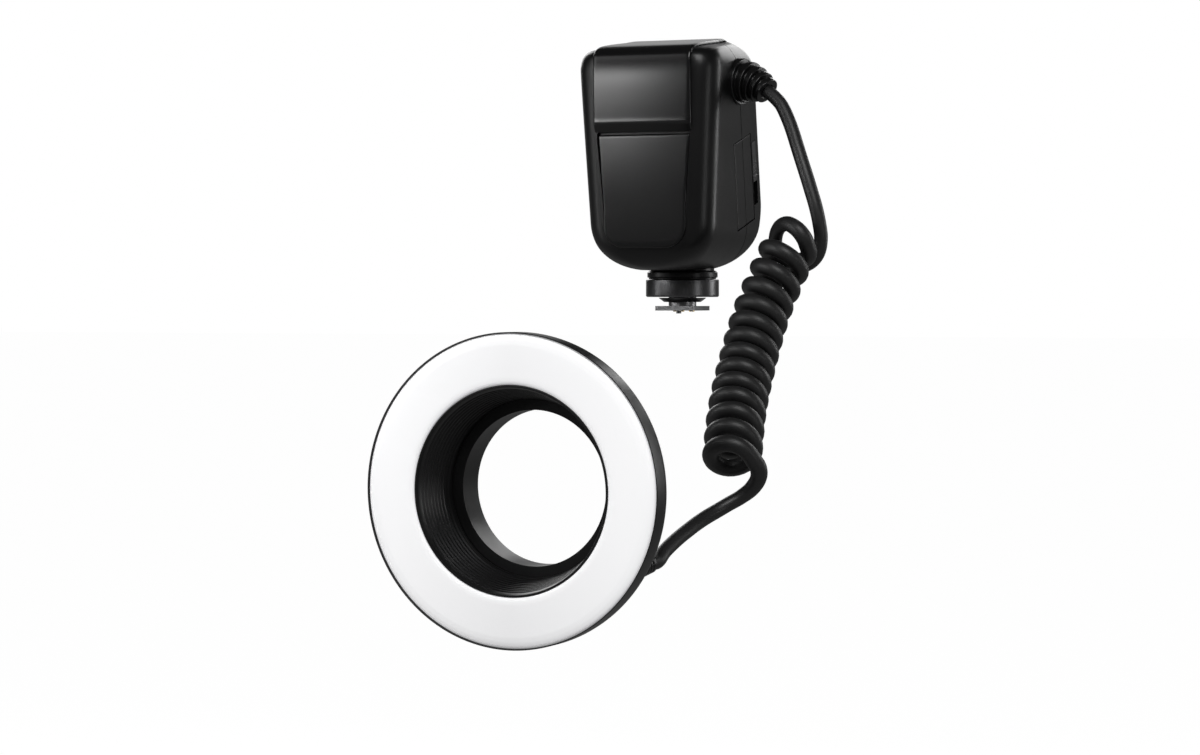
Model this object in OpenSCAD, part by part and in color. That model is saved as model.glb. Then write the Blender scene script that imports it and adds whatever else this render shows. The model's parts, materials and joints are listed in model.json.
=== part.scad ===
// Macro ring flash: a control unit on a shoe foot, a curly cord and a ring-shaped flash head.
// Millimetres. The origin is the centre of the foot's bottom face, +Z is up and the flash faces -Y.

/* [Control unit] */
// Height of the underside of the shells above the foot's bottom face
unit_bottom = 17.6; // [17.6:0.1:20]
// Height of the top of the shells at its rear
unit_top = 117.5; // [112:0.5:130]
// Angle by which the top rises towards the rear
top_slope = 7; // [5:0.5:10]
// Half width of the shells at half height
unit_half_w = 30.3; // [29:0.1:36]
// Growth of the half width for each millimetre of height
unit_taper = 0.053; // [0.04:0.001:0.06]
// Front face of the shells at half height
unit_front = -45.5; // [-60:0.5:-44]
// Lean of the front face for each millimetre of height
front_taper = 0.05; // [0.03:0.005:0.07]
// Angle by which the seam, the battery and the rear panel lean back
lean = 16.5; // [14:0.5:18]
// Distance from the seam plane to the rear face
rear_depth = 24.4; // [24:0.1:30]
// Wall of the shells
wall = 2.4; // [2:0.1:2.8]

/* [Roundings of the control unit] */
// Radius of the upright front corners
corner_front_r = 11; // [8:0.5:12]
// Radius of the upright rear corners
corner_rear_r = 7; // [5:0.5:8]
// Rounding between the sides and the underside
side_bottom_r = 20; // [16:0.5:21]
// Rounding between the sides and the top
side_top_r = 14; // [10:0.5:15]
// Rounding between the front and the underside
front_bottom_r = 12; // [8:0.5:14]
// Rounding of the brow between the front and the top
front_top_r = 12; // [9:0.5:14]
// Rounding between the rear and the underside
rear_bottom_r = 30; // [26:0.5:32]
// Rounding between the rear and the top
rear_top_r = 8; // [6:0.5:10]

/* [Front fascia] */
// Thickness of the upper fascia
upper_fascia_t = 1.3; // [1:0.1:1.6]
// Thickness of the lower fascia
lower_fascia_t = 1.1; // [0.8:0.1:1.4]
// Half width of the upper fascia
upper_fascia_w = 22.5; // [20:0.5:24]
// Height of the lip of the upper fascia
fascia_lip_z = 80.6; // [78:0.2:84]
// Height of the top of the lower fascia
lower_fascia_top = 75.5; // [72:0.5:76]
// Height of the foot of the lower fascia
lower_fascia_bottom = 27; // [25:0.5:30]
// Half width of the lower fascia at its top
lower_fascia_w = 21.4; // [19:0.2:22]
// Half width of the lower fascia above its lower corners
lower_fascia_foot_w = 19; // [17:0.2:20]
// Radius of the lower corners of the lower fascia
lower_fascia_r = 9.5; // [6:0.5:12]

/* [Battery] */
// Height at which the battery's axis crosses the seam
bay_z = 56; // [54:0.5:58]
// Where the seam crosses that height
seam_y = -2.2; // [-5:0.2:0]
// Thickness of the battery pack
battery_t = 19.4; // [17:0.2:20]
// Height of the battery pack
battery_h = 37.4; // [34:0.2:38]
// Length of the battery pack
battery_l = 49; // [44:0.5:49]
// Wall of the battery tray
tray_wall = 1.2; // [1:0.1:1.4]
// Height of the battery latch
latch_h = 18; // [14:0.5:19]
// Width of the battery latch
latch_w = 4.1; // [3:0.1:4.4]
// Travel of the battery latch
latch_travel = 5; // [3:0.5:8]

/* [Rear panel] */
// Width of the rear panel
panel_w = 44; // [42:0.5:46]
// Height of the rear panel
panel_h = 57; // [56:0.5:58]
// Thickness of the rear panel
panel_t = 1.9; // [1.6:0.1:2]
// Width of the display window
window_w = 38; // [34:0.5:38]
// Height of the display window
window_h = 24; // [20:0.5:25]
// Radius of the select dial
dial_r = 8.2; // [7:0.1:8.3]
// Radius of the set button
set_r = 4.4; // [3.5:0.1:4.6]
// Width of a function button
key_w = 7.2; // [6:0.2:7.4]
// Height of a function button
key_h = 4.4; // [3.6:0.2:4.8]
// Spacing of the function buttons
key_pitch = 9.8; // [9.6:0.1:9.9]
// Travel of the buttons
key_travel = 0.6; // [0.4:0.05:0.7]
// Travel of the power switch
switch_travel = 4; // [3:0.5:5]

/* [Shoe foot] */
// Width of the foot plate
foot_w = 18.6; // [18.3:0.1:18.7]
// Length of the foot plate
foot_l = 18; // [16:0.5:19]
// Thickness of the foot plate
foot_t = 2; // [1.9:0.05:2.05]
// Radius of the stem between foot plate and flange
stem_r = 6.1; // [5.9:0.1:6.2]
// Radius of the lock ring
lock_r = 16.1; // [14:0.1:18]
// Lower face of the lock ring
lock_z = 5.95; // [5.5:0.05:6.5]
// Height of the lock ring
lock_h = 7.95; // [7:0.05:7.95]
// Radius of the foot flange
flange_r = 15.5; // [14:0.1:17]
// Lower face of the foot flange
flange_z = 14.5; // [14.5:0.1:15.5]

/* [Cable boot] */
// Height of the boot on the side of the control unit
boot_z = 99; // [96:0.5:100]
// Length of the boot
boot_l = 15.5; // [13:0.5:18]
// Radius of the boot at its base
boot_base_r = 10; // [8:0.2:11]
// Radius of the boot at its tip
boot_tip_r = 5.8; // [4.5:0.1:6.5]
// Ribs of the boot
boot_ribs = 5; // [4:1:6]

/* [Ring head] */
// Distance of the ring's front edge ahead of the foot
ring_l = 182; // [170:1:190]
// Distance of the lens axis below the foot
ring_h = 69.5; // [65:0.5:75]
// Outer radius of the ring
ring_r = 62; // [60:0.5:64]
// Radius of the opening at the front
opening_r = 40.5; // [39:0.5:41]
// Radius of the opening where the tunnel ends
tunnel_end_r = 35.3; // [34:0.1:36]
// Depth of the tunnel
tunnel_l = 21.4; // [20:0.2:21.4]
// Depth of the cylindrical rim
rim_l = 8.5; // [6:0.5:9]
// Radius of the collar at the rear
collar_r = 52.2; // [51.5:0.1:53]
// Depth of the ring head
ring_depth = 32; // [31.5:0.1:34]
// Wall of the ring housing
ring_wall = 1.8; // [1.4:0.1:2]
// Grooves in the tunnel
tunnel_grooves = 9; // [5:1:12]
// Radius of the flash tubes
tube_r = 2.4; // [2:0.1:3]
// Angle that each flash tube spans
tube_span = 158; // [140:1:165]

/* [Adapter] */
// Outer radius of the adapter's flange
adapter_r = 42; // [41.5:0.1:42.2]
// Radius of the adapter's clear bore
adapter_bore_r = 31; // [29:0.5:31.5]
// Radius of the adapter's screw thread
thread_r = 33.5; // [33.5:0.5:36]
// Length of the adapter's screw thread
thread_l = 4.5; // [3.5:0.5:6]
// Travel of the release plates
release_travel = 1.6; // [1.4:0.1:1.7]

/* [Cord] */
// Diameter of the cord in its two leads
cord_d = 5.9; // [5.4:0.1:6.2]
// Diameter of the cord in its curls
curl_d = 7; // [6:0.1:7.2]
// Radius of the curls to the middle of the cord
curl_r = 8.7; // [8.4:0.1:9.2]
// Curls along the axis of the curly stretch
curls = 13; // [10:1:13]

/* [Clearances] */
// Gap round a piece that moves
move_gap = 0.3; // [0.25:0.05:0.4]
// Gap of a sliding pin in its bore
pin_gap = 0.1; // [0.06:0.01:0.12]
// Gap between fixed pieces that are glued or clipped
seat_gap = 0.05; // [0.03:0.01:0.1]

/* [Hidden] */
$fn = 96;
far = 200;

// Shape of the shells
mid_z = 65;
top_end_y = -5;
belly = 1.6;
outer_steps = 9;
inner_steps = 4;

// Battery bay, measured from the seam plane
bay_t = battery_t + 2 * move_gap;
bay_h = battery_h + 2 * move_gap;
tray_t = bay_t + 2 * tray_wall;
tray_h = bay_h + 2 * tray_wall;
tray_room = 2.9;
tray_end_x = unit_half_w - wall - tray_room;
tray_x = tray_end_x - battery_l - 1;
battery_x = tray_x + tray_wall + 0.8;
cap_x = battery_x + battery_l + move_gap;
cap_t = battery_t + 1;
cap_h = battery_h + 1;
cap_groove = 0.4;
cap_groove_depth = 0.5;
side_tilt = atan(unit_taper * cos(lean));
latch_u = cap_t / 2 + 3 * move_gap;
latch_v = -3;
latch_t = 1.4;
latch_ribs = 4;

// Layers behind the rear panel, measured from the seam plane
panel_v = -14;
panel_top_u = rear_depth + 0.4;
panel_back_u = panel_top_u - panel_t;
panel_r = 4;
panel_ledge = 2;
board_u = 14.4;
board_t = 1.6;
board_top_u = board_u + board_t;
keep_u = panel_back_u - move_gap;
keep_t = 1.4;
keep_rim = 1;
key_top_u = panel_top_u + 0.8;
key_bottom_u = keep_u - keep_t - 1;
key_v = 10.5;
key_r = 1.2;
pad_top_u = key_bottom_u - key_travel - 0.2;
window_v = 16;
dial_v = -2.4;
dial_top_u = panel_top_u + 1.6;
dial_grips = 24;
set_rim = 1.3;
side_key_x = 15.2;
side_key_v = -4;
test_r = 3.3;
switch_w = 4;
switch_h = 5;

// Screw posts and mounts inside the shells
post_r = 3.4;
post_x = 17;
post_v = -25.5;
post_front_u = -10;
screw_head_u = 19;
screw_r = 1;
screw_head_r = 2;
foot_screw_x = 8.5;
foot_screw_y = [-8.5, 3];
foot_post_h = 9;
foot_pad_r = 14;
capacitor_r = 11;
capacitor_l = 44;
capacitor_y = -28;
capacitor_z = 45;
cradle_x = 14;
rib_t = 1.6;
power_board_y = -25.4;
power_board_z = [74, 106];
power_board_w = 48;
power_post_x = 17;
power_post_z = 100;
power_post_r = 2.5;

// Foot stack
washer_z = 3.75;
washer_top_r = 10.6;
washer_bottom_r = 8.1;
lock_bevel = 0.5;
spigot_r = min(flange_r - 0.7, lock_r - lock_bevel - 0.8);
spigot_z = flange_z - 1;
pin_r = 1.1;
pin_y = -4.4;
pin_out = 1.3;
pin_l = 8;
pin_lift = 1.4;
contact_r = 0.8;
contact_out = 0.5;
contact_l = 4.5;
contacts = [[0, 0], [-4.2, 1.6], [4.2, 1.6], [-2.2, 4.3], [2.2, 4.3]];

// Boot axis, which bends downwards
boot_in = unit([0.985, -0.16, -0.02]);
boot_bent = unit([0.78, -0.22, -0.58]);
boot_base = [half_w(boot_z, 0), seam_at(boot_z), boot_z];
boot_step = boot_l / boot_ribs;
boot_groove = 1.1;
boot_rib_share = 0.72;
boot_tip = rib_mid(boot_ribs - 1) + boot_rib_share / 2 * boot_step * rib_dir(boot_ribs - 1);
boot_out = rib_dir(boot_ribs - 1);
boot_neck_r = 4.8;
boot_neck_l = 7;

// Ring head, radii and depths behind the front edge
rim_front_t = 0.7;
diffuser_seat = 2.3;
diffuser_t = 2.2;
diffuser_crown = 0.6;
diffuser_gap = 0.2;
baffle_t = 1.4;
baffle_lip_t = 0.8;
web_z = 26;
web_t = 1.8;
seat_lip_z = 22.6;
seat_lip_r = 44;
adapter_z = 23;
adapter_t = 2.6;
cover_t = 1.8;
cover_gap = 0.2;
cone_end = 25.5;
ring_screw_r = 48.6;
ring_screw_a = [60, 120, 240, 300];
ring_boss_r = 1.9;
reflector_front = 4.5;
reflector_back = 15.2;
reflector_t = 1;
tube_z = 10;
tube_ring_r = 51;
holder_w = 6.4;
board_z = 16;
plate_t = 1.3;
plate_r = 45.6;
plate_hole_r = adapter_r + 0.6;
plate_offset = 1.2;
plate_right_z = web_z + move_gap;
plate_left_z = plate_right_z + plate_t + move_gap;
button_w = 13;
button_x = 50;
button_out = 1.2;
spring_y = 12;
spring_z = web_z + 1.9;
spring_r = 1.2;
spring_wire = 0.4;
spring_turns = 3;

// Gland of the ring head
gland_dir = unit([0.3, 0.94, 0.15]);
gland_base = [44.6, 19.2 - ring_l, -30.1 - ring_h];
gland_l = 9.5;
gland_base_r = 4.6;
gland_tip_r = 3.7;
gland_tip = gland_base + gland_l * gland_dir;

// Route of the cord
cord_sides = 12;
upper_points = [[53.1, -19.7, 88.3], [56.6, -21.1, 82.4], [59.5, -22.5, 76.2], [62, -23.9, 70],
    [64.5, -25.1, 63.7], [67, -26.1, 57.3], [69.3, -26.8, 50.9], [71.4, -27, 44.3], [72.8, -26.5, 37.5],
    [73.2, -25.3, 30.7], [71.4, -24, 24.3], [66.7, -23.3, 20], [60.7, -24, 19.3], [55.9, -26.3, 22.5],
    [54.5, -29.8, 27.8], [56.3, -34.2, 32.7], [60.1, -39, 36], [65.1, -43.4, 36.7], [70.1, -45.4, 34]];
coil_axis = [[64, -39, 27], [58, -54, 2], [57, -70, -20], [59, -88, -40], [66, -113, -61]];
coil_right = [0.92, 0.39, 0];
coil_start = -0.06;
coil_stop = curls - 0.1;
curl_rings = 8;
curl_sides = 6;
lower_points = [[75.7, -107.8, -66.1], [72.5, -106.8, -70.7], [68, -107.6, -74.3], [63.5, -110.1, -77.2],
    [59.8, -113.8, -79.9], [57, -118.4, -82.2], [54.9, -123.4, -84.5], [53.3, -128.6, -86.8], [51.9, -133.9, -89.1],
    [50.6, -139.1, -91.6], [49.5, -144.2, -94.3]];
straight_out = 3;
lead_swell = 0.2;

// Vectors and smooth routes
function unit(v) = v / norm(v);
function blend(a, b, c, d, t) =
    0.5 * (2 * b + (c - a) * t + (2 * a - 5 * b + 4 * c - d) * t * t + (3 * b - a - 3 * c + d) * t * t * t);
function at(p, i) = i < 0 ? 2 * p[0] - p[1]
    : i >= len(p) ? 2 * p[len(p) - 1] - p[len(p) - 2]
    : p[i];
function route_at(p, s) = let (i = max(0, min(floor(s), len(p) - 2)))
    blend(at(p, i - 1), at(p, i), at(p, i + 1), at(p, i + 2), s - i);
function route(p, steps, from, to) = [for (k = [from * steps : to * steps]) route_at(p, k / steps)];
function tangents(p, first, last) = [for (i = [0 : len(p) - 1])
    i == 0 ? first : i == len(p) - 1 ? last : unit(p[i + 1] - p[i - 1])];
function square_to(t) = unit(cross(t, abs(t.z) < 0.9 ? [0, 0, 1] : [1, 0, 0]));
function carried(t) = [for (i = 0, n = square_to(t[0]); i < len(t);
    i = i + 1, n = i < len(t) ? unit(n - t[i] * (n * t[i])) : n) n];
function rings(p, t, r, sides) = let (n = carried(t)) [for (i = [0 : len(p) - 1])
    [for (k = [0 : sides - 1]) let (a = 360 * k / sides, at_r = is_list(r) ? r[i] : r)
        p[i] + at_r * (cos(a) * n[i] + sin(a) * cross(t[i], n[i]))]];
function swelling(count, from, to, share) = [for (i = [0 : count - 1])
    let (f = max(0, i / (count - 1) - 1 + share) / share) from + (to - from) * f * f * (3 - 2 * f)];
function reversed(p) = [for (i = [len(p) - 1 : -1 : 0]) p[i]];

// Boot axis: the direction turns evenly from the shell to the tip
function boot_dir(f) = unit(boot_in * (1 - f) + boot_bent * f);
function boot_at(f) = boot_base
    + boot_l * f / 20 * ([for (i = [0 : 19]) 1] * [for (i = [0 : 19]) boot_dir(f * (i + 0.5) / 20)]);
function rib_at(k) = (k + 1 - boot_rib_share / 2) / boot_ribs;
function rib_mid(k) = boot_at(rib_at(k));
function rib_dir(k) = boot_dir(rib_at(k));
function rib_r(k) = boot_base_r + (boot_tip_r - boot_base_r) * k / (boot_ribs - 1);

// Curls of the cord: a left-handed helix round a curved axis
function curl(turn) = let (s = turn * (len(coil_axis) - 1) / curls, p = route_at(coil_axis, s),
    t = unit(route_at(coil_axis, s + 0.01) - route_at(coil_axis, s - 0.01)),
    right = unit(coil_right - t * (coil_right * t)))
    p + curl_r * (cos(360 * turn) * right + sin(360 * turn) * cross(right, t));
function curl_dir(turn) = unit(curl(turn + 0.002) - curl(turn - 0.002));
coil_turns = coil_stop - coil_start;
coil_count = round(coil_turns * curl_rings);
coil_in = curl_dir(coil_start);
coil_out = curl_dir(coil_stop);
coil_first = curl(coil_start) - cord_d * coil_in;
coil_last = curl(coil_stop) + cord_d * coil_out;
coil_points = concat([coil_first], [for (k = [0 : coil_count]) curl(coil_start + coil_turns * k / coil_count)],
    [coil_last]);
upper_list = concat([boot_tip, boot_tip + straight_out * boot_out], upper_points,
    [coil_first, curl(coil_start)]);
upper_route = route(upper_list, 2, 0, len(upper_list) - 2);
lower_list = concat([curl(coil_stop), coil_last], lower_points,
    [gland_tip + 1.6 * straight_out * gland_dir, gland_tip]);
lower_route = route(lower_list, 2, 1, len(lower_list) - 1);
coil_gap = min([for (i = [0 : len(coil_points) - 1]) for (j = [i + curl_rings - 2 : 1 : len(coil_points) - 1])
    norm(coil_points[i] - coil_points[j])]) - curl_d;
echo(least_gap_between_curls = coil_gap);

// Outline of the shells at height z, grown by o
function inset(r, d, p = 2) = d >= r ? 0 : r * (1 - pow(1 - pow(1 - max(d, 0) / r, p), 1 / p));
function seam_at(z) = seam_y - (z - bay_z) * tan(lean);
function half_w(z, o) = unit_half_w + o + unit_taper * (z - mid_z)
    - inset(side_bottom_r + o, z - unit_bottom + o) - inset(side_top_r + o, unit_top + o - z);
function front_at(z, o) = let (face = unit_front - o - front_taper * (z - mid_z)
        + inset(front_bottom_r + o, z - unit_bottom + o),
    back = top_end_y - (unit_top + o - z) / tan(top_slope) - face)
    face + (back + sqrt(back * back + front_top_r * front_top_r)) / 2;
function rear_at(z, o) = seam_at(z) + rear_depth / cos(lean) + o
    - inset(rear_bottom_r + o, z - unit_bottom + o, belly) - inset(rear_top_r + o, unit_top + o - z);
function corner(x, y, r, from, z, steps) = [for (k = [0 : steps])
    let (a = from + 90 * k / steps) [x + r * cos(a), y + r * sin(a), z]];
function section(z, o, steps) = let (w = half_w(z, o), f = front_at(z, o), b = rear_at(z, o),
    rf = min(corner_front_r + o, w - 0.5, 0.6 * (b - f)), rb = min(corner_rear_r + o, w - 0.5, 0.4 * (b - f)))
    concat(corner(w - rb, b - rb, rb, 0, z, steps), corner(rb - w, b - rb, rb, 90, z, steps),
        corner(rf - w, f + rf, rf, 180, z, steps), corner(w - rf, f + rf, rf, 270, z, steps));
function levels(o, steps) = concat(
    [for (k = [0 : steps]) unit_bottom - o + (rear_bottom_r + o) * (1 - cos(90 * k / steps))],
    [for (k = [steps : -1 : 0]) unit_top + o - (side_top_r + o) * (1 - cos(90 * k / steps))]);

// Closed skin over a stack of rings with equal counts of points
module skin(stack) {
    n = len(stack[0]);
    m = len(stack);
    polyhedron(
        points = [for (ring = stack) each ring],
        faces = concat(
            [for (k = [1 : n - 2]) [0, k, k + 1]],
            [for (k = [1 : n - 2]) [(m - 1) * n, (m - 1) * n + k + 1, (m - 1) * n + k]],
            [for (i = [0 : m - 2]) for (k = [0 : n - 1])
                [i * n + k, (i + 1) * n + (k + 1) % n, i * n + (k + 1) % n]],
            [for (i = [0 : m - 2]) for (k = [0 : n - 1])
                [i * n + k, (i + 1) * n + k, (i + 1) * n + (k + 1) % n]]));
}

module tube(points, first, last, sides, r) skin(rings(points, tangents(points, first, last), r, sides));

module loft(o, steps) skin([for (z = levels(o, steps + 1)) section(z, o, steps)]);

// Frames: along a direction, in the leaning seam plane, on the leaning right side, on the ring's axis
module along(p, d) translate(p) rotate([0, acos(d.z / norm(d)), atan2(d.y, d.x)]) children();

module seam_frame() translate([0, seam_y, bay_z]) rotate([lean, 0, 0]) children();

module side_frame() seam_frame() translate([half_w(bay_z, 0), 0, 0]) rotate([0, side_tilt, 0]) children();

module ring_frame() translate([0, -ring_l, -ring_h]) rotate([-90, 0, 0]) children();

// Pieces drawn in the seam frame, from depth u0 to depth u1
module rod(x, v, u0, u1, r) translate([x, u0, v]) rotate([-90, 0, 0]) cylinder(r = r, h = u1 - u0);

module slab(x0, x1, u0, u1, v0, v1) translate([x0, u0, v0]) cube([x1 - x0, u1 - u0, v1 - v0]);

module rounded(w, h, r) {
    square([w - 2 * r, h], center = true);
    square([w, h - 2 * r], center = true);
    for (sx = [-1, 1], sy = [-1, 1]) translate([sx * (w / 2 - r), sy * (h / 2 - r)]) circle(r);
}

module rounded_slab(x, v, w, h, r, u0, u1)
    translate([x, u1, v]) rotate([90, 0, 0]) linear_extrude(u1 - u0) rounded(w, h, r);

// Half spaces on either side of the seam
module ahead_of_seam() seam_frame() translate([-far, -2 * far, -far]) cube([2 * far, 2 * far, 2 * far]);

module panel_plate(grow, u0, u1)
    rounded_slab(0, panel_v + panel_h / 2, panel_w + 2 * grow, panel_h + 2 * grow, panel_r, u0, u1);

// Posts, cradles and ribs that stand inside the shells
module inner_posts() {
    for (sx = [-1, 1]) {
        seam_frame() rod(sx * post_x, post_v, post_front_u, rear_depth, post_r);
        translate([sx * power_post_x, unit_front - wall, power_post_z]) rotate([-90, 0, 0])
            cylinder(r = power_post_r, h = power_board_y - seat_gap - unit_front + wall);
        translate([sx * cradle_x - rib_t / 2, unit_front - wall, capacitor_z - 1.3 * capacitor_r])
            cube([rib_t, capacitor_y - unit_front + wall + capacitor_r / 2, 1.3 * capacitor_r]);
        for (y = foot_screw_y) translate([sx * foot_screw_x, y, unit_bottom])
            cylinder(r = post_r, h = foot_post_h);
        translate([sx * post_x - rib_t / 2, -4, unit_bottom]) cube([rib_t, 8, bay_z + post_v - unit_bottom]);
    }
}

module battery_opening()
    seam_frame() slab(tray_end_x - 6, far, -cap_t / 2 - move_gap, cap_t / 2 + move_gap,
        -cap_h / 2 - move_gap, cap_h / 2 + move_gap);

module latch_pocket()
    side_frame() slab(-latch_t - move_gap, far, latch_u - move_gap, latch_u + latch_w + move_gap,
        latch_v - latch_travel - 5 - move_gap, latch_v + latch_h + move_gap);

// Both shells before they part at the seam
module case_body() difference() {
    union() {
        loft(0, outer_steps);
        translate([0, 0, unit_bottom]) cylinder(r = foot_pad_r, h = 5);
    }
    difference() {
        loft(-wall, inner_steps);
        inner_posts();
    }
    translate([0, capacitor_y, capacitor_z]) rotate([0, 90, 0])
        cylinder(r = capacitor_r + seat_gap, h = 2 * cradle_x + 4, center = true);
    for (sx = [-1, 1], y = foot_screw_y) translate([sx * foot_screw_x, y, unit_bottom - 1])
        cylinder(r = screw_r + seat_gap, h = foot_post_h);
    for (sx = [-1, 1]) seam_frame() {
        rod(sx * post_x, post_v, post_front_u + 2, rear_depth, screw_r + seat_gap);
        rod(sx * post_x, post_v, screw_head_u, rear_depth + wall, screw_head_r + 2 * seat_gap);
    }
    battery_opening();
    along(boot_base - boot_neck_l * boot_in, boot_in) cylinder(r = boot_neck_r + seat_gap, h = 2 * boot_neck_l);
}

module front_shell() color("#1b1b1d") intersection() {
    case_body();
    ahead_of_seam();
}

module rear_shell() color("#19191b") difference() {
    case_body();
    ahead_of_seam();
    latch_pocket();
    seam_frame() {
        panel_plate(3 * seat_gap, panel_back_u - seat_gap, rear_depth + 5);
        panel_plate(-panel_ledge, board_top_u, rear_depth + 5);
    }
}

// Front fascia: two skins that follow the shells
module fascia_skin(t) difference() {
    loft(t, outer_steps);
    loft(seat_gap, outer_steps);
}

module upper_fascia() color("#2a2a2d") difference() {
    intersection() {
        loft(upper_fascia_t, outer_steps);
        translate([-upper_fascia_w, -far, fascia_lip_z - 5]) cube([2 * upper_fascia_w, far + top_end_y + 1, far]);
    }
    loft(seat_gap, outer_steps);
    lip = front_at(fascia_lip_z, upper_fascia_t);
    root_z = lower_fascia_top + 1;
    root = front_at(root_z, 0);
    rotate([90, 0, 90]) linear_extrude(2 * far, center = true)
        polygon([[-far, 0], [-far, fascia_lip_z], [lip, fascia_lip_z], [root, root_z], [0, root_z], [0, 0]]);
}

module lower_fascia() color("#262629") intersection() {
    fascia_skin(lower_fascia_t);
    w = lower_fascia_foot_w;
    r = lower_fascia_r;
    z = lower_fascia_bottom;
    translate([0, -20, 0]) rotate([90, 0, 0]) linear_extrude(far) polygon(concat(
        [[-lower_fascia_w, lower_fascia_top], [-w, z + 2 * r]],
        [for (a = [180 : 10 : 270]) [r - w + r * cos(a), z + r + r * sin(a)]],
        [for (a = [270 : 10 : 360]) [w - r + r * cos(a), z + r + r * sin(a)]],
        [[w, z + 2 * r], [lower_fascia_w, lower_fascia_top]]));
}

// Rear panel and what it carries
module key_slot(x, v, grow, u0, u1)
    rounded_slab(x, v, key_w + 2 * grow, key_h + 2 * grow, key_r + grow, u0, u1);

function key_x(i) = (i - 2.5) * key_pitch;

module control_panel() color("#202022") seam_frame() difference() {
    panel_plate(0, panel_back_u, panel_top_u);
    rounded_slab(0, window_v + window_h / 2, window_w - 2, window_h - 2, 1, panel_back_u - 1, panel_top_u + 1);
    rounded_slab(0, window_v + window_h / 2, window_w + 2 * seat_gap, window_h + 2 * seat_gap, 1.5,
        panel_top_u - 1, panel_top_u + 1);
    for (i = [1 : 4]) key_slot(key_x(i), key_v, move_gap, panel_back_u - 1, panel_top_u + 1);
    rod(0, dial_v, panel_back_u - 1, panel_top_u + 1, dial_r + move_gap);
    rod(side_key_x, side_key_v, panel_back_u - 1, panel_top_u + 1, test_r + move_gap);
    slab(-side_key_x - switch_w / 2 - move_gap, -side_key_x + switch_w / 2 + move_gap,
        panel_back_u - 1, panel_top_u + 1, side_key_v - (switch_h + switch_travel) / 2 - move_gap,
        side_key_v + (switch_h + switch_travel) / 2 + move_gap);
}

module display_window() color("#0d1114") seam_frame()
    rounded_slab(0, window_v + window_h / 2, window_w, window_h, 1.5, panel_top_u - 1 + seat_gap, panel_top_u);

module display_module() color("#6f7f78") seam_frame()
    slab(1 - window_w / 2, window_w / 2 - 1, board_top_u + seat_gap, panel_back_u - seat_gap,
        window_v + 0.5, window_v + window_h - 0.5);

module function_button(i) color("#3a3a3d") seam_frame() {
    key_slot(key_x(i), key_v, 0, key_bottom_u, key_top_u);
    key_slot(key_x(i), key_v, keep_rim, keep_u - keep_t, keep_u);
}

module test_button() color("#3c3c3f") seam_frame() {
    rod(side_key_x, side_key_v, key_bottom_u, key_top_u, test_r);
    rod(side_key_x, side_key_v, keep_u - keep_t, keep_u, test_r + keep_rim);
}

module power_switch() color("#343437") seam_frame() {
    v = side_key_v - switch_travel / 2;
    slab(-side_key_x - switch_w / 2, -side_key_x + switch_w / 2, keep_u - keep_t, panel_top_u + 1,
        v - switch_h / 2, v + switch_h / 2);
    slab(-side_key_x - switch_w / 2 - keep_rim, -side_key_x + switch_w / 2 + keep_rim, keep_u - keep_t, keep_u,
        v - switch_h / 2 - keep_rim, v + switch_h / 2 + keep_rim);
}

module select_dial() color("#2c2c2f") seam_frame() difference() {
    union() {
        rod(0, dial_v, keep_u - keep_t, dial_top_u, dial_r);
        rod(0, dial_v, keep_u - keep_t, keep_u, dial_r + keep_rim);
    }
    rod(0, dial_v, 0, far, set_r + move_gap);
    for (k = [1 : dial_grips])
        rod(dial_r * cos(360 * k / dial_grips), dial_v + dial_r * sin(360 * k / dial_grips),
            panel_top_u + 0.4, far, 0.45);
}

module set_button() color("#3a3a3d") seam_frame() {
    rod(0, dial_v, key_bottom_u, dial_top_u - 0.4, set_r);
    rod(0, dial_v, key_bottom_u - 0.4, keep_u - keep_t - move_gap, set_r + set_rim);
}

module dial_encoder() color("#4a4d50") seam_frame() difference() {
    rod(0, dial_v, board_top_u + seat_gap, keep_u - keep_t - move_gap, dial_r + keep_rim);
    rod(0, dial_v, 0, far, set_r + set_rim + move_gap);
}

module button_pad() color("#8d9296") seam_frame() {
    slab(-2 * key_pitch, 2 * key_pitch, board_top_u + seat_gap, board_top_u + 1.4,
        key_v - key_h / 2 - 0.6, key_v + key_h / 2 + 0.6);
    for (i = [1 : 4]) rod(key_x(i), key_v, board_top_u + 1, pad_top_u, key_h / 2);
    rod(side_key_x, side_key_v, board_top_u + seat_gap, pad_top_u, test_r);
}

// Boards and high-voltage parts
module main_board() color("#1f5a3c") seam_frame() {
    slab(-panel_w / 2, panel_w / 2, board_u, board_top_u, panel_v + 1, panel_v + panel_h - 2);
    slab(-panel_w / 2 + 4, panel_w / 2 - 4, board_u - 2.4, board_u + seat_gap, 24, 38);
}

module power_board() color("#1f5a3c")
    translate([-power_board_w / 2, power_board_y, power_board_z[0]])
        cube([power_board_w, board_t, power_board_z[1] - power_board_z[0]]);

module flash_capacitor() color("#23304f") translate([0, capacitor_y, capacitor_z]) rotate([0, 90, 0]) {
    cylinder(r = capacitor_r - seat_gap, h = capacitor_l, center = true);
    for (s = [-1, 1]) translate([s * 4, 0, capacitor_l / 2]) cylinder(r = 0.5, h = 2.5);
}

module inverter_transformer() color("#5b4a32") translate([0, power_board_y - seat_gap, 86]) {
    translate([-9, -12, 0]) cube([18, 12, 3]);
    translate([-9, -12, 11]) cube([18, 12, 3]);
    translate([0, -6, 2.5]) cylinder(r = 5.6, h = 9);
}

// Battery, tray and latch
module battery_tray() color("#2b2b2e") seam_frame() difference() {
    slab(tray_x, tray_end_x, -tray_t / 2, tray_t / 2, -tray_h / 2, tray_h / 2);
    slab(tray_x + tray_wall, far, -bay_t / 2, bay_t / 2, -bay_h / 2, bay_h / 2);
}

module battery_contacts() color("#c9a646") seam_frame() for (v = [-8, 0, 8])
    slab(tray_x + tray_wall + seat_gap, battery_x - move_gap, -3, 3, v - 1.5, v + 1.5);

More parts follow.
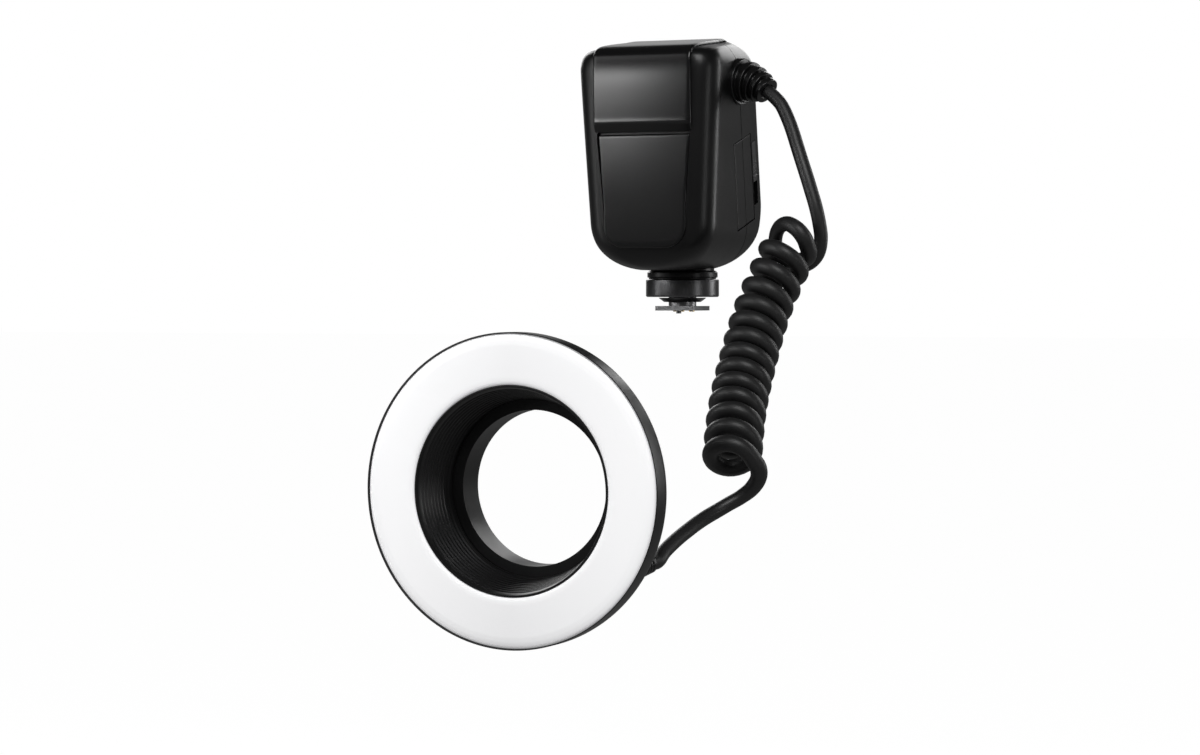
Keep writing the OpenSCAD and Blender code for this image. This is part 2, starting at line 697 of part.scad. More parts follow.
module battery_pack() color("#303033") seam_frame() translate([battery_x, 0, 0]) rotate([90, 0, 90])
    linear_extrude(battery_l) rounded(battery_t, battery_h, 2);

module battery_end_cap() color("#1b1b1d") difference() {
    intersection() {
        loft(0, outer_steps);
        seam_frame() slab(cap_x, far, -cap_t / 2, cap_t / 2, -cap_h / 2, cap_h / 2);
    }
    side_frame() slab(-cap_groove_depth, far, -cap_groove / 2, cap_groove / 2, -far, far);
}

module battery_latch() color("#3b3b3f") side_frame() {
    slab(-latch_t, 0.2, latch_u, latch_u + latch_w, latch_v, latch_v + latch_h);
    for (k = [1 : latch_ribs]) slab(0, 0.55, latch_u + 0.5, latch_u + latch_w - 0.5,
        latch_v + 2 * k, latch_v + 2 * k + 0.9);
}

module case_screws() color("#8c8c90") seam_frame() for (sx = [-1, 1]) {
    rod(sx * post_x, post_v, post_front_u + 2.5, screw_head_u + 0.1, screw_r);
    rod(sx * post_x, post_v, screw_head_u + seat_gap, screw_head_u + 1.6, screw_head_r);
}

// Cable boot: ribs that grow smaller along a bent axis, on a core, seated on the side of the shells
module boot_disc(f, d, r, h) along(boot_at(f) - h / 2 * d, d) cylinder(r = r, h = h);

module cable_boot() color("#151516") {
    difference() {
        union() {
            along(boot_base - 4 * boot_in, boot_in) cylinder(r = boot_base_r, h = 4 + boot_step * 0.8);
            for (k = [1 : boot_ribs - 1]) {
                boot_disc(rib_at(k), rib_dir(k), rib_r(k), boot_rib_share * boot_step);
                boot_disc(k / boot_ribs, boot_dir(k / boot_ribs), rib_r(k) - boot_groove, boot_step);
            }
        }
        loft(2 * seat_gap, outer_steps);
    }
    along(boot_base - boot_neck_l * boot_in, boot_in) cylinder(r = boot_neck_r, h = boot_neck_l + boot_l / 4);
}

// Shoe foot
module foot_flange() color("#222224") difference() {
    union() {
        translate([0, 0, flange_z]) cylinder(r = flange_r, h = unit_bottom - flange_z);
        translate([0, 0, spigot_z]) cylinder(r = spigot_r, h = flange_z - spigot_z + 1);
    }
    cylinder(r = stem_r + seat_gap, h = flange_z);
    for (sx = [-1, 1], y = foot_screw_y) translate([sx * foot_screw_x, y, 0]) {
        cylinder(r = screw_r + 4 * seat_gap, h = far);
        cylinder(r = screw_head_r + 2 * seat_gap, h = flange_z + 1.5);
    }
}

module foot_screws() color("#8c8c90") for (sx = [-1, 1], y = foot_screw_y)
    translate([sx * foot_screw_x, y, flange_z + 0.2]) {
        cylinder(r = screw_head_r, h = 1.3 - seat_gap);
        cylinder(r = screw_r, h = 9);
    }

module foot_plate() color("#77777b") difference() {
    union() {
        translate([-foot_w / 2, -foot_l / 2, 0]) cube([foot_w, foot_l, foot_t]);
        cylinder(r = stem_r, h = flange_z);
    }
    translate([0, pin_y, -1]) cylinder(r = pin_r + pin_gap, h = pin_l - pin_out + pin_lift + 1.5);
    for (c = contacts) translate([c.x, c.y, -1]) cylinder(r = contact_r + pin_gap, h = contact_l + contact_out + 1.5);
}

module lock_ring() color("#232325") difference() {
    rotate_extrude() polygon([[stem_r + move_gap, lock_z], [lock_r - lock_bevel, lock_z],
        [lock_r, lock_z + lock_bevel], [lock_r, lock_z + lock_h - lock_bevel],
        [lock_r - lock_bevel, lock_z + lock_h], [spigot_r + move_gap, lock_z + lock_h],
        [spigot_r + move_gap, spigot_z - move_gap], [stem_r + move_gap, spigot_z - move_gap]]);
}

module clamp_washer() color("#2b2b2d") rotate_extrude() polygon([[stem_r + move_gap, washer_z],
    [washer_bottom_r, washer_z], [washer_top_r, lock_z - move_gap], [stem_r + move_gap, lock_z - move_gap]]);

module locking_pin() color("#a8a8ac") translate([0, pin_y, -pin_out]) cylinder(r = pin_r, h = pin_l);

module shoe_contact(i) color("#c9a646") translate([contacts[i].x, contacts[i].y, -contact_out])
    cylinder(r = contact_r, h = contact_l);

// Cord
module cord_upper_lead() color("#161617") tube(upper_route, boot_out, coil_in, cord_sides,
    swelling(len(upper_route), cord_d / 2, curl_d / 2, lead_swell));

module cord_coil() color("#161617") tube(coil_points, coil_in, coil_out, curl_sides, curl_d / 2);

module cord_lower_lead() color("#161617") tube(lower_route, coil_out, -gland_dir, cord_sides,
    reversed(swelling(len(lower_route), cord_d / 2, curl_d / 2, 1.4 * lead_swell)));

// Ring head
function tunnel_r(z) = opening_r + (tunnel_end_r - opening_r) * z / tunnel_l;

module ring_gland() color("#151516") along(gland_base, gland_dir)
    cylinder(r1 = gland_base_r, r2 = gland_tip_r, h = gland_l);

module ring_housing() color("#19191a") difference() {
    ring_frame() {
        inner_rim = ring_r - 2 * rim_front_t;
        collar_in = collar_r - ring_wall;
        rotate_extrude() polygon([[ring_r, 0], [ring_r, rim_l], [ring_r - 0.2, rim_l + 1.5],
            [ring_r - 0.7, rim_l + 2.8], [ring_r - 1.5, rim_l + 4.2], [collar_r, cone_end], [collar_r, ring_depth],
            [collar_in, ring_depth], [collar_in, web_z], [adapter_r + move_gap, web_z],
            [adapter_r + move_gap, seat_lip_z], [seat_lip_r, seat_lip_z], [seat_lip_r, web_z - web_t],
            [collar_in - 2, web_z - web_t], [inner_rim, rim_l + 1], [inner_rim, diffuser_seat],
            [ring_r - rim_front_t, diffuser_seat], [ring_r - rim_front_t, 0]]);
        for (a = ring_screw_a) rotate(a) translate([ring_screw_r, 0, web_z - 0.5])
            cylinder(r = ring_boss_r, h = ring_depth - cover_t - seat_gap - web_z + 0.5);
    }
    ring_frame() {
        for (a = ring_screw_a) rotate(a) translate([ring_screw_r, 0, web_z + 0.6]) cylinder(r = 0.8, h = far);
        for (s = [0, 180]) rotate(s) translate([button_x - 2.5, -button_w / 2 - move_gap, web_z])
            cube([20, button_w + 2 * move_gap, ring_depth - cover_t - web_z - 0.1]);
    }
    along(gland_base - 2 * gland_dir, gland_dir) cylinder(r = gland_base_r + 2 * seat_gap, h = 2 * gland_l);
}

module ring_rear_cover() color("#1c1c1d") ring_frame() difference() {
    translate([0, 0, ring_depth - cover_t]) cylinder(r = collar_r - ring_wall - cover_gap, h = cover_t);
    cylinder(r = adapter_r + move_gap, h = far);
    for (a = ring_screw_a) rotate(a) translate([ring_screw_r, 0, 0]) {
        cylinder(r = 0.9, h = far);
        translate([0, 0, ring_depth - 0.9]) cylinder(r = 1.45, h = 2);
    }
}

module ring_screws() color("#8c8c90") ring_frame() for (a = ring_screw_a) rotate(a) translate([ring_screw_r, 0, 0]) {
    translate([0, 0, web_z + 1]) cylinder(r = 0.75, h = ring_depth - 0.5 - web_z - 1);
    translate([0, 0, ring_depth - 0.85]) cylinder(r = 1.4, h = 0.8);
}

module inner_baffle() color("#161617") ring_frame() {
    pitch = (tunnel_l - 4) / tunnel_grooves;
    rotate_extrude() polygon(concat(
        [[tunnel_r(0), 0.2], [tunnel_r(0) + baffle_lip_t, 0.2], [tunnel_r(0) + baffle_lip_t, diffuser_seat],
            [tunnel_r(0) + baffle_lip_t + 1.4, diffuser_seat], [tunnel_r(0) + baffle_lip_t + 1.4, diffuser_seat + 1],
            [tunnel_r(3) + baffle_t, 4], [tunnel_r(tunnel_l - 1) + baffle_t, tunnel_l - 1],
            [seat_lip_r + 2, tunnel_l - 0.2], [seat_lip_r + 2, seat_lip_z - seat_gap],
            [tunnel_end_r, seat_lip_z - seat_gap], [tunnel_end_r, tunnel_l]],
        [for (k = [tunnel_grooves - 1 : -1 : 0]) let (z = 3 + k * pitch)
            each [[tunnel_r(z + 0.7 * pitch), z + 0.7 * pitch], [tunnel_r(z + 0.35 * pitch) + 0.5, z + 0.35 * pitch],
                [tunnel_r(z), z]]]));
}

module diffuser() color("#f4f4f4") ring_frame() {
    out = ring_r - rim_front_t - diffuser_gap;
    in = tunnel_r(0) + baffle_lip_t + diffuser_gap;
    rotate_extrude() polygon([[in, diffuser_t], [in, 0.4], [in + 0.4, -0.1], [in + 1.2, -0.45],
        [in + 2.6, -diffuser_crown], [out - 4.4, -diffuser_crown], [out - 2.4, -0.35], [out - 1, 0.1],
        [out - 0.25, 0.7], [out, 1.4], [out, diffuser_t]]);
}

module reflector() color("#d8d8da") ring_frame() {
    t = reflector_t;
    out = ring_r - 2 * rim_front_t - 2 * diffuser_gap;
    back_out = tube_ring_r + 4;
    back_in = tube_ring_r - 4;
    front_in = opening_r + 3.5;
    rotate_extrude() polygon([[out, reflector_front], [out, reflector_front + t], [out - 1.4, reflector_front + t],
        [back_out, reflector_back], [back_in, reflector_back], [front_in, reflector_front],
        [front_in + t, reflector_front], [back_in + 0.8 * t, reflector_back - t],
        [back_out - 0.8 * t, reflector_back - t], [out - 2.6, reflector_front]]);
}

module flash_tube(from) color("#e6eef2") ring_frame() rotate(from - tube_span / 2)
    rotate_extrude(angle = tube_span) translate([tube_ring_r, tube_z]) circle(tube_r);

module tube_holders() color("#dcdcdc") ring_frame()
    for (side = [0, 180], end = [-1, 1]) rotate(side + end * (tube_span / 2 - 5) - 2.5)
        rotate_extrude(angle = 5) translate([tube_ring_r, 0]) difference() {
            translate([-holder_w / 2, tube_z - tube_r - 1]) square([holder_w,
                reflector_back - reflector_t - seat_gap - tube_z + tube_r + 1]);
            translate([0, tube_z]) circle(tube_r + seat_gap);
        }

module trigger_board() color("#1f5a3c") ring_frame() {
    difference() {
        translate([0, 0, reflector_back + seat_gap]) cylinder(r = tube_ring_r + 3, h = board_t);
        cylinder(r = tube_ring_r - 6.5, h = far);
        rotate(34) translate([0, -9, 0]) cube([far, 18, far]);
    }
    rotate(150) translate([tube_ring_r - 6, -6, reflector_back + board_t]) cube([5, 12, 3.6]);
}

// Quick release: each plate has its button on one side and its hook on the other
module release_plate(z) {
    difference() {
        union() {
            translate([0, 0, z]) cylinder(r = plate_r, h = plate_t);
            translate([plate_r - 2, -button_w / 2, z]) cube([button_x - plate_r + 2.5, button_w, plate_t]);
        }
        translate([plate_offset, 0, 0]) cylinder(r = plate_hole_r, h = far);
    }
    translate([button_x, -button_w / 2, web_z + move_gap])
        cube([collar_r + button_out - button_x, button_w, ring_depth - cover_t - web_z - 2 * move_gap - 0.15]);
}

module release_plate_right() color("#2e2e31") ring_frame() release_plate(plate_right_z);

module release_plate_left() color("#2e2e31") ring_frame() rotate(180) release_plate(plate_left_z);

module release_spring() {
    from = sqrt(pow(plate_r, 2) - pow(spring_y, 2)) + move_gap;
    to = sqrt(pow(collar_r - ring_wall, 2) - pow(spring_y + spring_r, 2)) - move_gap;
    wire = [for (k = [0 : 8 * spring_turns]) let (f = k / (8 * spring_turns))
        [-from - spring_wire / 2 - f * (to - from - spring_wire), spring_y + spring_r * cos(45 * k),
            spring_z + spring_r * sin(45 * k)]];
    n = len(wire);
    tube(wire, unit(wire[1] - wire[0]), unit(wire[n - 1] - wire[n - 2]), curl_sides, spring_wire / 2);
}

module release_spring_right() color("#b0b0b4") ring_frame() release_spring();

module release_spring_left() color("#b0b0b4") ring_frame() rotate(180) release_spring();

// Adapter that screws into the filter thread of the lens
module adapter_ring() color("#4b4b4e") ring_frame() rotate_extrude() polygon([[adapter_bore_r, adapter_z],
    [adapter_r, adapter_z], [adapter_r, adapter_z + adapter_t], [thread_r + 1.6, adapter_z + adapter_t],
    [thread_r + 1.6, ring_depth + 0.4], [thread_r, ring_depth + 0.4], [thread_r, ring_depth + 0.4 + thread_l],
    [adapter_bore_r, ring_depth + 0.4 + thread_l]]);

front_shell();
rear_shell();
upper_fascia();
lower_fascia();
control_panel();
display_window();
display_module();
function_button(1);  // function_button_1
function_button(2);  // function_button_2
function_button(3);  // function_button_3
function_button(4);  // function_button_4
test_button();
power_switch();
select_dial();
set_button();
dial_encoder();
button_pad();
main_board();
power_board();
flash_capacitor();
inverter_transformer();
battery_tray();
battery_contacts();
battery_pack();
battery_end_cap();
battery_latch();
case_screws();
cable_boot();
foot_flange();
foot_plate();
lock_ring();
clamp_washer();
locking_pin();
shoe_contact(0);  // centre_contact
shoe_contact(1);  // side_contact_1
shoe_contact(2);  // side_contact_2
shoe_contact(3);  // side_contact_3
shoe_contact(4);  // side_contact_4
foot_screws();
cord_upper_lead();
cord_coil();
cord_lower_lead();
ring_gland();
ring_housing();
ring_rear_cover();
inner_baffle();
diffuser();
reflector();
flash_tube(180);  // flash_tube_left
flash_tube(0);  // flash_tube_right
tube_holders();
trigger_board();
release_plate_right();
release_plate_left();
release_spring_right();
release_spring_left();
adapter_ring();
ring_screws();
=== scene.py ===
"""Looks of a macro ring flash: a control unit on a shoe foot, a curly cord and a ring-shaped flash head.

Lengths are millimetres in the part's own frame and become metres when a mesh is made.
"""

import json
from math import pi, radians

import bmesh
import bpy
import numpy as np
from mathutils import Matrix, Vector


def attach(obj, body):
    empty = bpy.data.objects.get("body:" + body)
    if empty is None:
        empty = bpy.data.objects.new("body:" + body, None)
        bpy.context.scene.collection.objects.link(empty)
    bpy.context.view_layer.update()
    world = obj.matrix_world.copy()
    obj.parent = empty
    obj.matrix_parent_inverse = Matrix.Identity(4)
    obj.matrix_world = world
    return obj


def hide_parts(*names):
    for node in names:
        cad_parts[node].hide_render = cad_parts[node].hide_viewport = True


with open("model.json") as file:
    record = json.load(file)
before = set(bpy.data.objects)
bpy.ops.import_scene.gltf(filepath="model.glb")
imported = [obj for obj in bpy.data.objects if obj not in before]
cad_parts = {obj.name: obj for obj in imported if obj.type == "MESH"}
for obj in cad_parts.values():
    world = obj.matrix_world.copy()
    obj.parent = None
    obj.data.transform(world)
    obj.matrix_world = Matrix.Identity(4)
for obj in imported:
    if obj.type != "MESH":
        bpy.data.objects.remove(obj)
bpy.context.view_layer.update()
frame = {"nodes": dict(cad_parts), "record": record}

MM = 0.001
ROOT = "flash"

# Angles in degrees above which an edge stays sharp
SHARP = 35
SKIN_SHARP = 40
ROUND_SHARP = 50

# Places past the object where cuts end
FAR = 150.0
PAST_SIDE = 60.0
PAST_REAR = 40.0

# Sizes of the control unit
UNIT_BOTTOM = 17.6
UNIT_TOP = 117.5
TOP_SLOPE = radians(7)
TOP_END_Y = -5.0
UNIT_HALF_W = 30.3
UNIT_TAPER = 0.053
UNIT_FRONT = -45.5
FRONT_TAPER = 0.05
MID_Z = 65.0
REAR_DEPTH = 24.4
WALL = 2.4
CORNER_FRONT_R = 11.0
CORNER_REAR_R = 7.0
SIDE_BOTTOM_R = 20.0
SIDE_TOP_R = 14.0
FRONT_BOTTOM_R = 12.0
FRONT_TOP_R = 12.0
REAR_BOTTOM_R = 30.0
REAR_TOP_R = 8.0
BELLY = 1.6
SEAM_Y = -2.2
BAY_Z = 56.0
LEAN = radians(16.5)
SEAM_GAP = 0.2
FOOT_PAD_R = 14.0
FOOT_PAD_T = 5.0
FRONT_SPINE = (-25.0, 96.0)

# Sizes of the front fascia
HOOD_T = 1.3
HOOD_HALF_W = 22.5
HOOD_ROOT_Z = 76.5
HOOD_LIP_Z = 79.8
HOOD_END_Y = -4.0
HOOD_TURN = 30.0
HOOD_END_L = 3.0
HOOD_END_FALL = 0.97
LIP_FOOT = 0.12
LIP_BEAD = 0.12
LIP_BEAD_W = 1.5
SHIELD_T = 1.1
SHIELD_TOP_Z = 75.5
SHIELD_BOTTOM_Z = 27.0
SHIELD_TOP_W = 21.4
SHIELD_FOOT_W = 19.0
SHIELD_R = 9.5
SHIELD_TOP_R = 1.2
SHIELD_LEAN = 2.0
SHIELD_GAP = 0.12
SHIELD_ROWS = 26
SUNK = -0.15

# Sizes of the battery door and its latch, in the seam frame
DOOR_U = 10.2
DOOR_V = 19.2
DOOR_DEPTH = 3.2
DOOR_CUT_X = 19.0
DOOR_GROOVE = 0.4
DOOR_GROOVE_DEPTH = 0.5
MOVE_GAP = 0.3
LATCH_U = (11.1, 15.2)
LATCH_V = (-3.0, 15.0)
LATCH_POCKET_V = -13.0
LATCH_T = 1.4
LATCH_PROUD = 0.2
LATCH_RIBS = 4
LATCH_RIB_H = 0.35

# Sizes of the rear panel
PANEL_W = 44.0
PANEL_H = 57.0
PANEL_V = -14.0
PANEL_R = 4.0
PANEL_TOP_U = 24.8
PANEL_T = 1.9
PANEL_LEDGE = 2.0
PANEL_GAP = 0.15
WINDOW_W = 38.0
WINDOW_H = 24.0
WINDOW_V = 16.0
KEY_W = 7.2
KEY_H = 4.4
KEYS = 4
KEY_R = 1.2
KEY_CROWN = 0.12
KEY_PITCH = 9.8
KEY_V = 10.5
KEY_TOP_U = 25.6
KEY_BOTTOM_U = 20.2
DIAL_R = 8.2
DIAL_V = -2.4
DIAL_TOP_U = 26.4
DIAL_GRIPS = 24
SET_R = 4.4
TEST_R = 3.3
SIDE_KEY_X = 15.2
SIDE_KEY_V = -4.0
SWITCH_W = 4.0
SWITCH_H = 5.0
SWITCH_TRAVEL = 4.0
RIDGE_H = 0.14
RIDGES_PER_MM = 1.1
CASE_SCREW_X = 17.0
CASE_SCREW_V = -25.5
CASE_SCREW_R = 2.1
CASE_SCREW_U = (12.0, 19.0, 20.6)
CASE_SCREW_RADII = (1.0, 2.0)
CROSS = (0.28, 1.2)
CROSS_DEPTH = 0.8

# Sizes of the shoe foot
STEM_BORE = 6.4
LOCK_R = 16.1
LOCK_Z = (5.95, 13.9)
FLANGE_R = 15.5
FLANGE_Z = (14.5, 17.6)
SPIGOT_R = 14.8
SPIGOT_Z = 13.5
STEM_R = 6.15
WASHER_Z = (3.75, 5.65)
WASHER_R = (8.1, 10.6)
FOOT_SCREW_X = (-8.5, 8.5)
FOOT_SCREW_Y = (-8.5, 3.0)
FOOT_SCREW_R = 2.1
FOOT_SCREW_Z = (10.0, 16.0)

# Sizes of the cable boot
BOOT_Z = 99.0
BOOT_L = 15.5
BOOT_R = (10.0, 5.8)
BOOT_RIBS = 5
BOOT_RIB_SHARE = 0.72
BOOT_GROOVE = 1.1
BOOT_NECK_R = 4.8
BOOT_NECK_L = 7.0
BOOT_NECK_GAP = 0.1
BOOT_OUT = (0.985, -0.16, -0.02)
BOOT_BENT = (0.78, -0.22, -0.58)

# Sizes of the ring head
RING_L = 182.0
RING_H = 69.5
RING_D = 32.0
RING_STEPS = 224
RIM_R = 62.0
BACK_R = 52.2
COLLAR_R = 50.4
COLLAR_FLOOR = 26.0
SEAT_R = 42.3
DIFFUSER_R = (41.5, 61.45)
RELEASE_X = (47.5, 60.0)
RELEASE_HALF_H = 6.8
RELEASE_DEPTH = (26.0, 30.1)
COVER_R = (42.3, 50.2)
COVER_DEPTH = (30.2, 32.0)
COVER_SCREW_R = 48.6
COVER_SCREWS = (60, 120, 240, 300)
COUNTERSINK_R = 1.45
TUNNEL_R = (40.5, 35.3)
TUNNEL_L = 21.4
TUNNEL_WALL = 1.4
TUNNEL_FLANGE_R = 46.0
TUNNEL_END = 22.55
TUNNEL_GROOVES = 9
TUNNEL_GROOVE = 0.5
THREAD_PITCH = 0.75
THREAD_DEPTH = 0.4

# Sizes of the cord
CORD_D = 5.9
CURL_D = 7.0
CURL_R = 8.7
LEAD_SWELL = 0.2
CURLS = 13
CURL_RINGS = 32
CORD_SIDES = 20

# Viewpoint in metres, its direction in degrees across and down, and its focal length in millimetres
VIEW_PLACE = (0.51668, -1.30115, 0.007157)
VIEW_ACROSS = 23.146
VIEW_DOWN = 1.502
FOCAL_LENGTH = 95.22
SENSOR_W = 36

# Floor under the object
FLOOR_HALF_W = 30000.0
FLOOR_Z = -430.0


def unit(v):
    """Vectors at length one."""
    v = np.asarray(v, float)
    return v / np.linalg.norm(v, axis=-1, keepdims=True)


# Meshes
def quads(rows, cols, wrap_rows=False, wrap_cols=False):
    """Faces of a grid of rows by cols points: a cell joins a point, its neighbours and the point across."""
    i = np.arange(rows if wrap_rows else rows - 1)[:, None]
    j = np.arange(cols if wrap_cols else cols - 1)[None, :]
    up = (i + 1) % rows
    on = (j + 1) % cols
    cell = [i * cols + j, i * cols + on, up * cols + on, up * cols + j]
    return np.stack([np.broadcast_to(c, (i.size, j.size)).ravel() for c in cell], axis=1)


def smooth(data, sharp=SHARP):
    """Smooth shading, with edges that turn more than that angle left sharp."""
    data.shade_smooth()
    data.set_sharp_from_angle(angle=radians(sharp))


def mesh_of(name, points, faces, sharp=SHARP):
    """Closed mesh in metres: doubles merged, flat slivers dropped, faces outward, smooth up to an angle."""
    data = bpy.data.meshes.new(name)
    data.from_pydata((np.reshape(points, (-1, 3)) * MM).tolist(), [], faces)
    tidy = bmesh.new()
    tidy.from_mesh(data)
    bmesh.ops.remove_doubles(tidy, verts=tidy.verts, dist=1e-6)
    bmesh.ops.dissolve_degenerate(tidy, edges=tidy.edges, dist=1e-7)
    bmesh.ops.recalc_face_normals(tidy, faces=tidy.faces)
    tidy.to_mesh(data)
    tidy.free()
    smooth(data, sharp)
    return data


def thing(name, data):
    """Object at the origin that holds a mesh, a lamp or the view."""
    made = bpy.data.objects.new(name, data)
    bpy.context.scene.collection.objects.link(made)
    return made


def grid_thing(name, grid, wrap_rows=False, wrap_cols=False, sharp=SHARP):
    """Object made of one grid of points."""
    faces = quads(grid.shape[0], grid.shape[1], wrap_rows, wrap_cols).tolist()
    return thing(name, mesh_of(name, grid, faces, sharp))


def carve(target, cutter, operation="DIFFERENCE", crossing=False):
    """Boolean of two closed meshes, applied at once. The cutter is then removed.

    crossing allows a cutter that folds through itself.
    """
    step = target.modifiers.new("carve", "BOOLEAN")
    step.operation = operation
    step.solver = "EXACT"
    step.use_self = crossing
    step.object = cutter
    bpy.context.view_layer.update()
    ready = target.evaluated_get(bpy.context.evaluated_depsgraph_get())
    carved = bpy.data.meshes.new_from_object(ready)
    target.modifiers.clear()
    target.data = carved
    bpy.data.objects.remove(cutter)
    smooth(carved)
    return target


def soften(width, corners, closed=True, steps=4):
    """Profile whose corners are parabola arcs that leave both sides at width from the corner."""
    p = np.asarray(corners, float)
    before = np.roll(p, 1, axis=0) - p
    after = np.roll(p, -1, axis=0) - p
    to_before = np.linalg.norm(before, axis=1, keepdims=True)
    to_after = np.linalg.norm(after, axis=1, keepdims=True)
    cut = np.minimum(width, 0.45 * np.minimum(to_before, to_after))
    if not closed:
        cut[[0, -1]] = 0
    first = p + before / np.maximum(to_before, 1e-9) * cut
    last = p + after / np.maximum(to_after, 1e-9) * cut
    t = np.linspace(0, 1, steps)[None, :, None]
    arc = (1 - t) ** 2 * first[:, None] + 2 * t * (1 - t) * p[:, None] + t**2 * last[:, None]
    return arc.reshape(-1, 2)


# Places
def seam_place(x, u, v):
    """Points of the leaning seam frame: x across, u back from the seam plane, v up along it."""
    x, u, v = np.broadcast_arrays(np.asarray(x, float), u, v)
    y = SEAM_Y + u * np.cos(LEAN) - v * np.sin(LEAN)
    z = BAY_Z + u * np.sin(LEAN) + v * np.cos(LEAN)
    return np.stack([x, y, z], axis=-1)


def ring_place(r, turn, depth):
    """Points of the ring head: radius, angle round its own axis and depth behind its front edge."""
    x = r * np.cos(turn)
    z = -RING_H - r * np.sin(turn)
    return np.stack(np.broadcast_arrays(x, depth - RING_L, z), axis=-1)


def upright_place(r, turn, height):
    """Points round the foot's upright axis."""
    return np.stack(np.broadcast_arrays(r * np.cos(turn), r * np.sin(turn), height), axis=-1)


def flat_place(x, y, z):
    """Points over an outline that lies flat, at a height."""
    return np.stack([x, y, z], axis=-1)


def front_place(x, z, y):
    """Points over an outline that faces forwards, at a depth."""
    return np.stack([x, y, z], axis=-1)


def side_place(u, v, x):
    """Points over an outline in u and v of the seam frame, at a place across."""
    return seam_place(x, u, v)


def panel_place(x, v):
    """Lathe place whose axis stands on the rear panel at x, v."""
    return lambda r, turn, u: seam_place(x + r * np.cos(turn), u, v + r * np.sin(turn))


def axis_place(start, direction):
    """Lathe place whose axis leaves a point in a direction."""
    axis = unit(direction)
    side = unit(np.cross(axis, [0.0, 0.0, 1.0]))
    other = np.cross(axis, side)

    def place(r, turn, depth):
        spread = np.cos(turn)[..., None] * side + np.sin(turn)[..., None] * other
        return np.asarray(start) + r[..., None] * spread + depth[..., None] * axis

    return place


def lathe(name, profile, place, steps=RING_STEPS, closed=True, sharp=SHARP, waist=None):
    """A profile of radius and depth turned round an axis. waist may change the radius by angle."""
    turn = np.linspace(0, 2 * pi, steps, endpoint=False)[None, :]
    r, depth = (np.broadcast_to(c[:, None], (len(profile), steps)) for c in np.asarray(profile).T)
    turn = np.broadcast_to(turn, r.shape)
    if waist:
        r = waist(r, turn, depth)
    return grid_thing(name, place(r, turn, depth), closed, True, sharp)


def bore(name, r, low, high, place):
    """Plain cylinder along a lathe's axis, used to cut."""
    return lathe(name, [(0, low), (r, low), (r, high), (0, high)], place, 48, False)


# The form of the control unit
def rounding(radius, depth, power=2.0):
    """How far a rounded edge stands back at a depth from it: one quarter of a superellipse."""
    share = 1 - np.clip(depth / radius, 0, 1)
    return radius * (1 - (1 - share**power) ** (1 / power))


def side_of(z, grow):
    """Half width of the unit at a height."""
    low = rounding(SIDE_BOTTOM_R + grow, z - UNIT_BOTTOM + grow)
    high = rounding(SIDE_TOP_R + grow, UNIT_TOP + grow - z)
    return UNIT_HALF_W + grow + UNIT_TAPER * (z - MID_Z) - low - high


def front_of(z, grow):
    """Front face at a height: a hyperbola joins the leaning front and the sloping top at the brow."""
    low = rounding(FRONT_BOTTOM_R + grow, z - UNIT_BOTTOM + grow)
    face = UNIT_FRONT - grow - FRONT_TAPER * (z - MID_Z) + low
    back = TOP_END_Y - (UNIT_TOP + grow - z) / np.tan(TOP_SLOPE) - face
    return face + (back + np.sqrt(back * back + FRONT_TOP_R**2)) / 2


def seam_of(z):
    """Where the leaning seam plane is at a height."""
    return SEAM_Y - (z - BAY_Z) * np.tan(LEAN)


def rear_of(z, grow):
    """Rear face of the unit at a height."""
    low = rounding(REAR_BOTTOM_R + grow, z - UNIT_BOTTOM + grow, BELLY)
    high = rounding(REAR_TOP_R + grow, UNIT_TOP + grow - z)
    return seam_of(z) + REAR_DEPTH / np.cos(LEAN) + grow - low - high


def section_of(z, grow):
    """Half width, front, rear and the two corner radii of the rounded rectangle at a height."""
    w = side_of(z, grow)
    front = front_of(z, grow)
    rear = rear_of(z, grow)
    front_r = np.minimum(np.minimum(CORNER_FRONT_R + grow, w - 0.5), 0.6 * (rear - front))
    rear_r = np.minimum(np.minimum(CORNER_REAR_R + grow, w - 0.5), 0.4 * (rear - front))
    return w, front, rear, front_r, rear_r


def unit_form(name, grow, per_corner=18, per_side=12):
    """Closed skin of the unit: rounded rectangles stacked by height, each side a function of height."""
    turn = np.linspace(0, pi / 2, 28)
    low = UNIT_BOTTOM - grow + (REAR_BOTTOM_R + grow) * (1 - np.cos(turn))
    high = UNIT_TOP + grow - (SIDE_TOP_R + grow) * (1 - np.cos(turn[::-1]))
    z = np.concatenate([low, np.linspace(low[-1], high[0], 22)[1:-1], high])[:, None]
    w, f, b, rf, rb = section_of(z, grow)
    quarter = np.linspace(0, pi / 2, per_corner)[None, :]
    middles = [(w - rb, b - rb, rb), (rb - w, b - rb, rb), (rf - w, f + rf, rf), (w - rf, f + rf, rf)]
    arcs = []
    for k, (x, y, r) in enumerate(middles):
        angle = quarter + k * pi / 2
        arcs.append(np.stack([x + r * np.cos(angle), y + r * np.sin(angle)], axis=-1))
    t = np.linspace(0, 1, per_side)[1:-1][None, :, None]
    sides = [a[:, -1:] * (1 - t) + c[:, :1] * t for a, c in zip(arcs, arcs[1:] + arcs[:1])]
    flat = np.concatenate([part for pair in zip(arcs, sides) for part in pair], axis=1)
    grid = np.concatenate([flat, np.broadcast_to(z[:, :, None], flat.shape[:2] + (1,))], axis=-1)
    rows, cols = grid.shape[:2]
    faces = quads(rows, cols, False, True).tolist()
    faces += [list(range(cols))[::-1], list(range((rows - 1) * cols, rows * cols))]
    return thing(name, mesh_of(name, grid, faces))


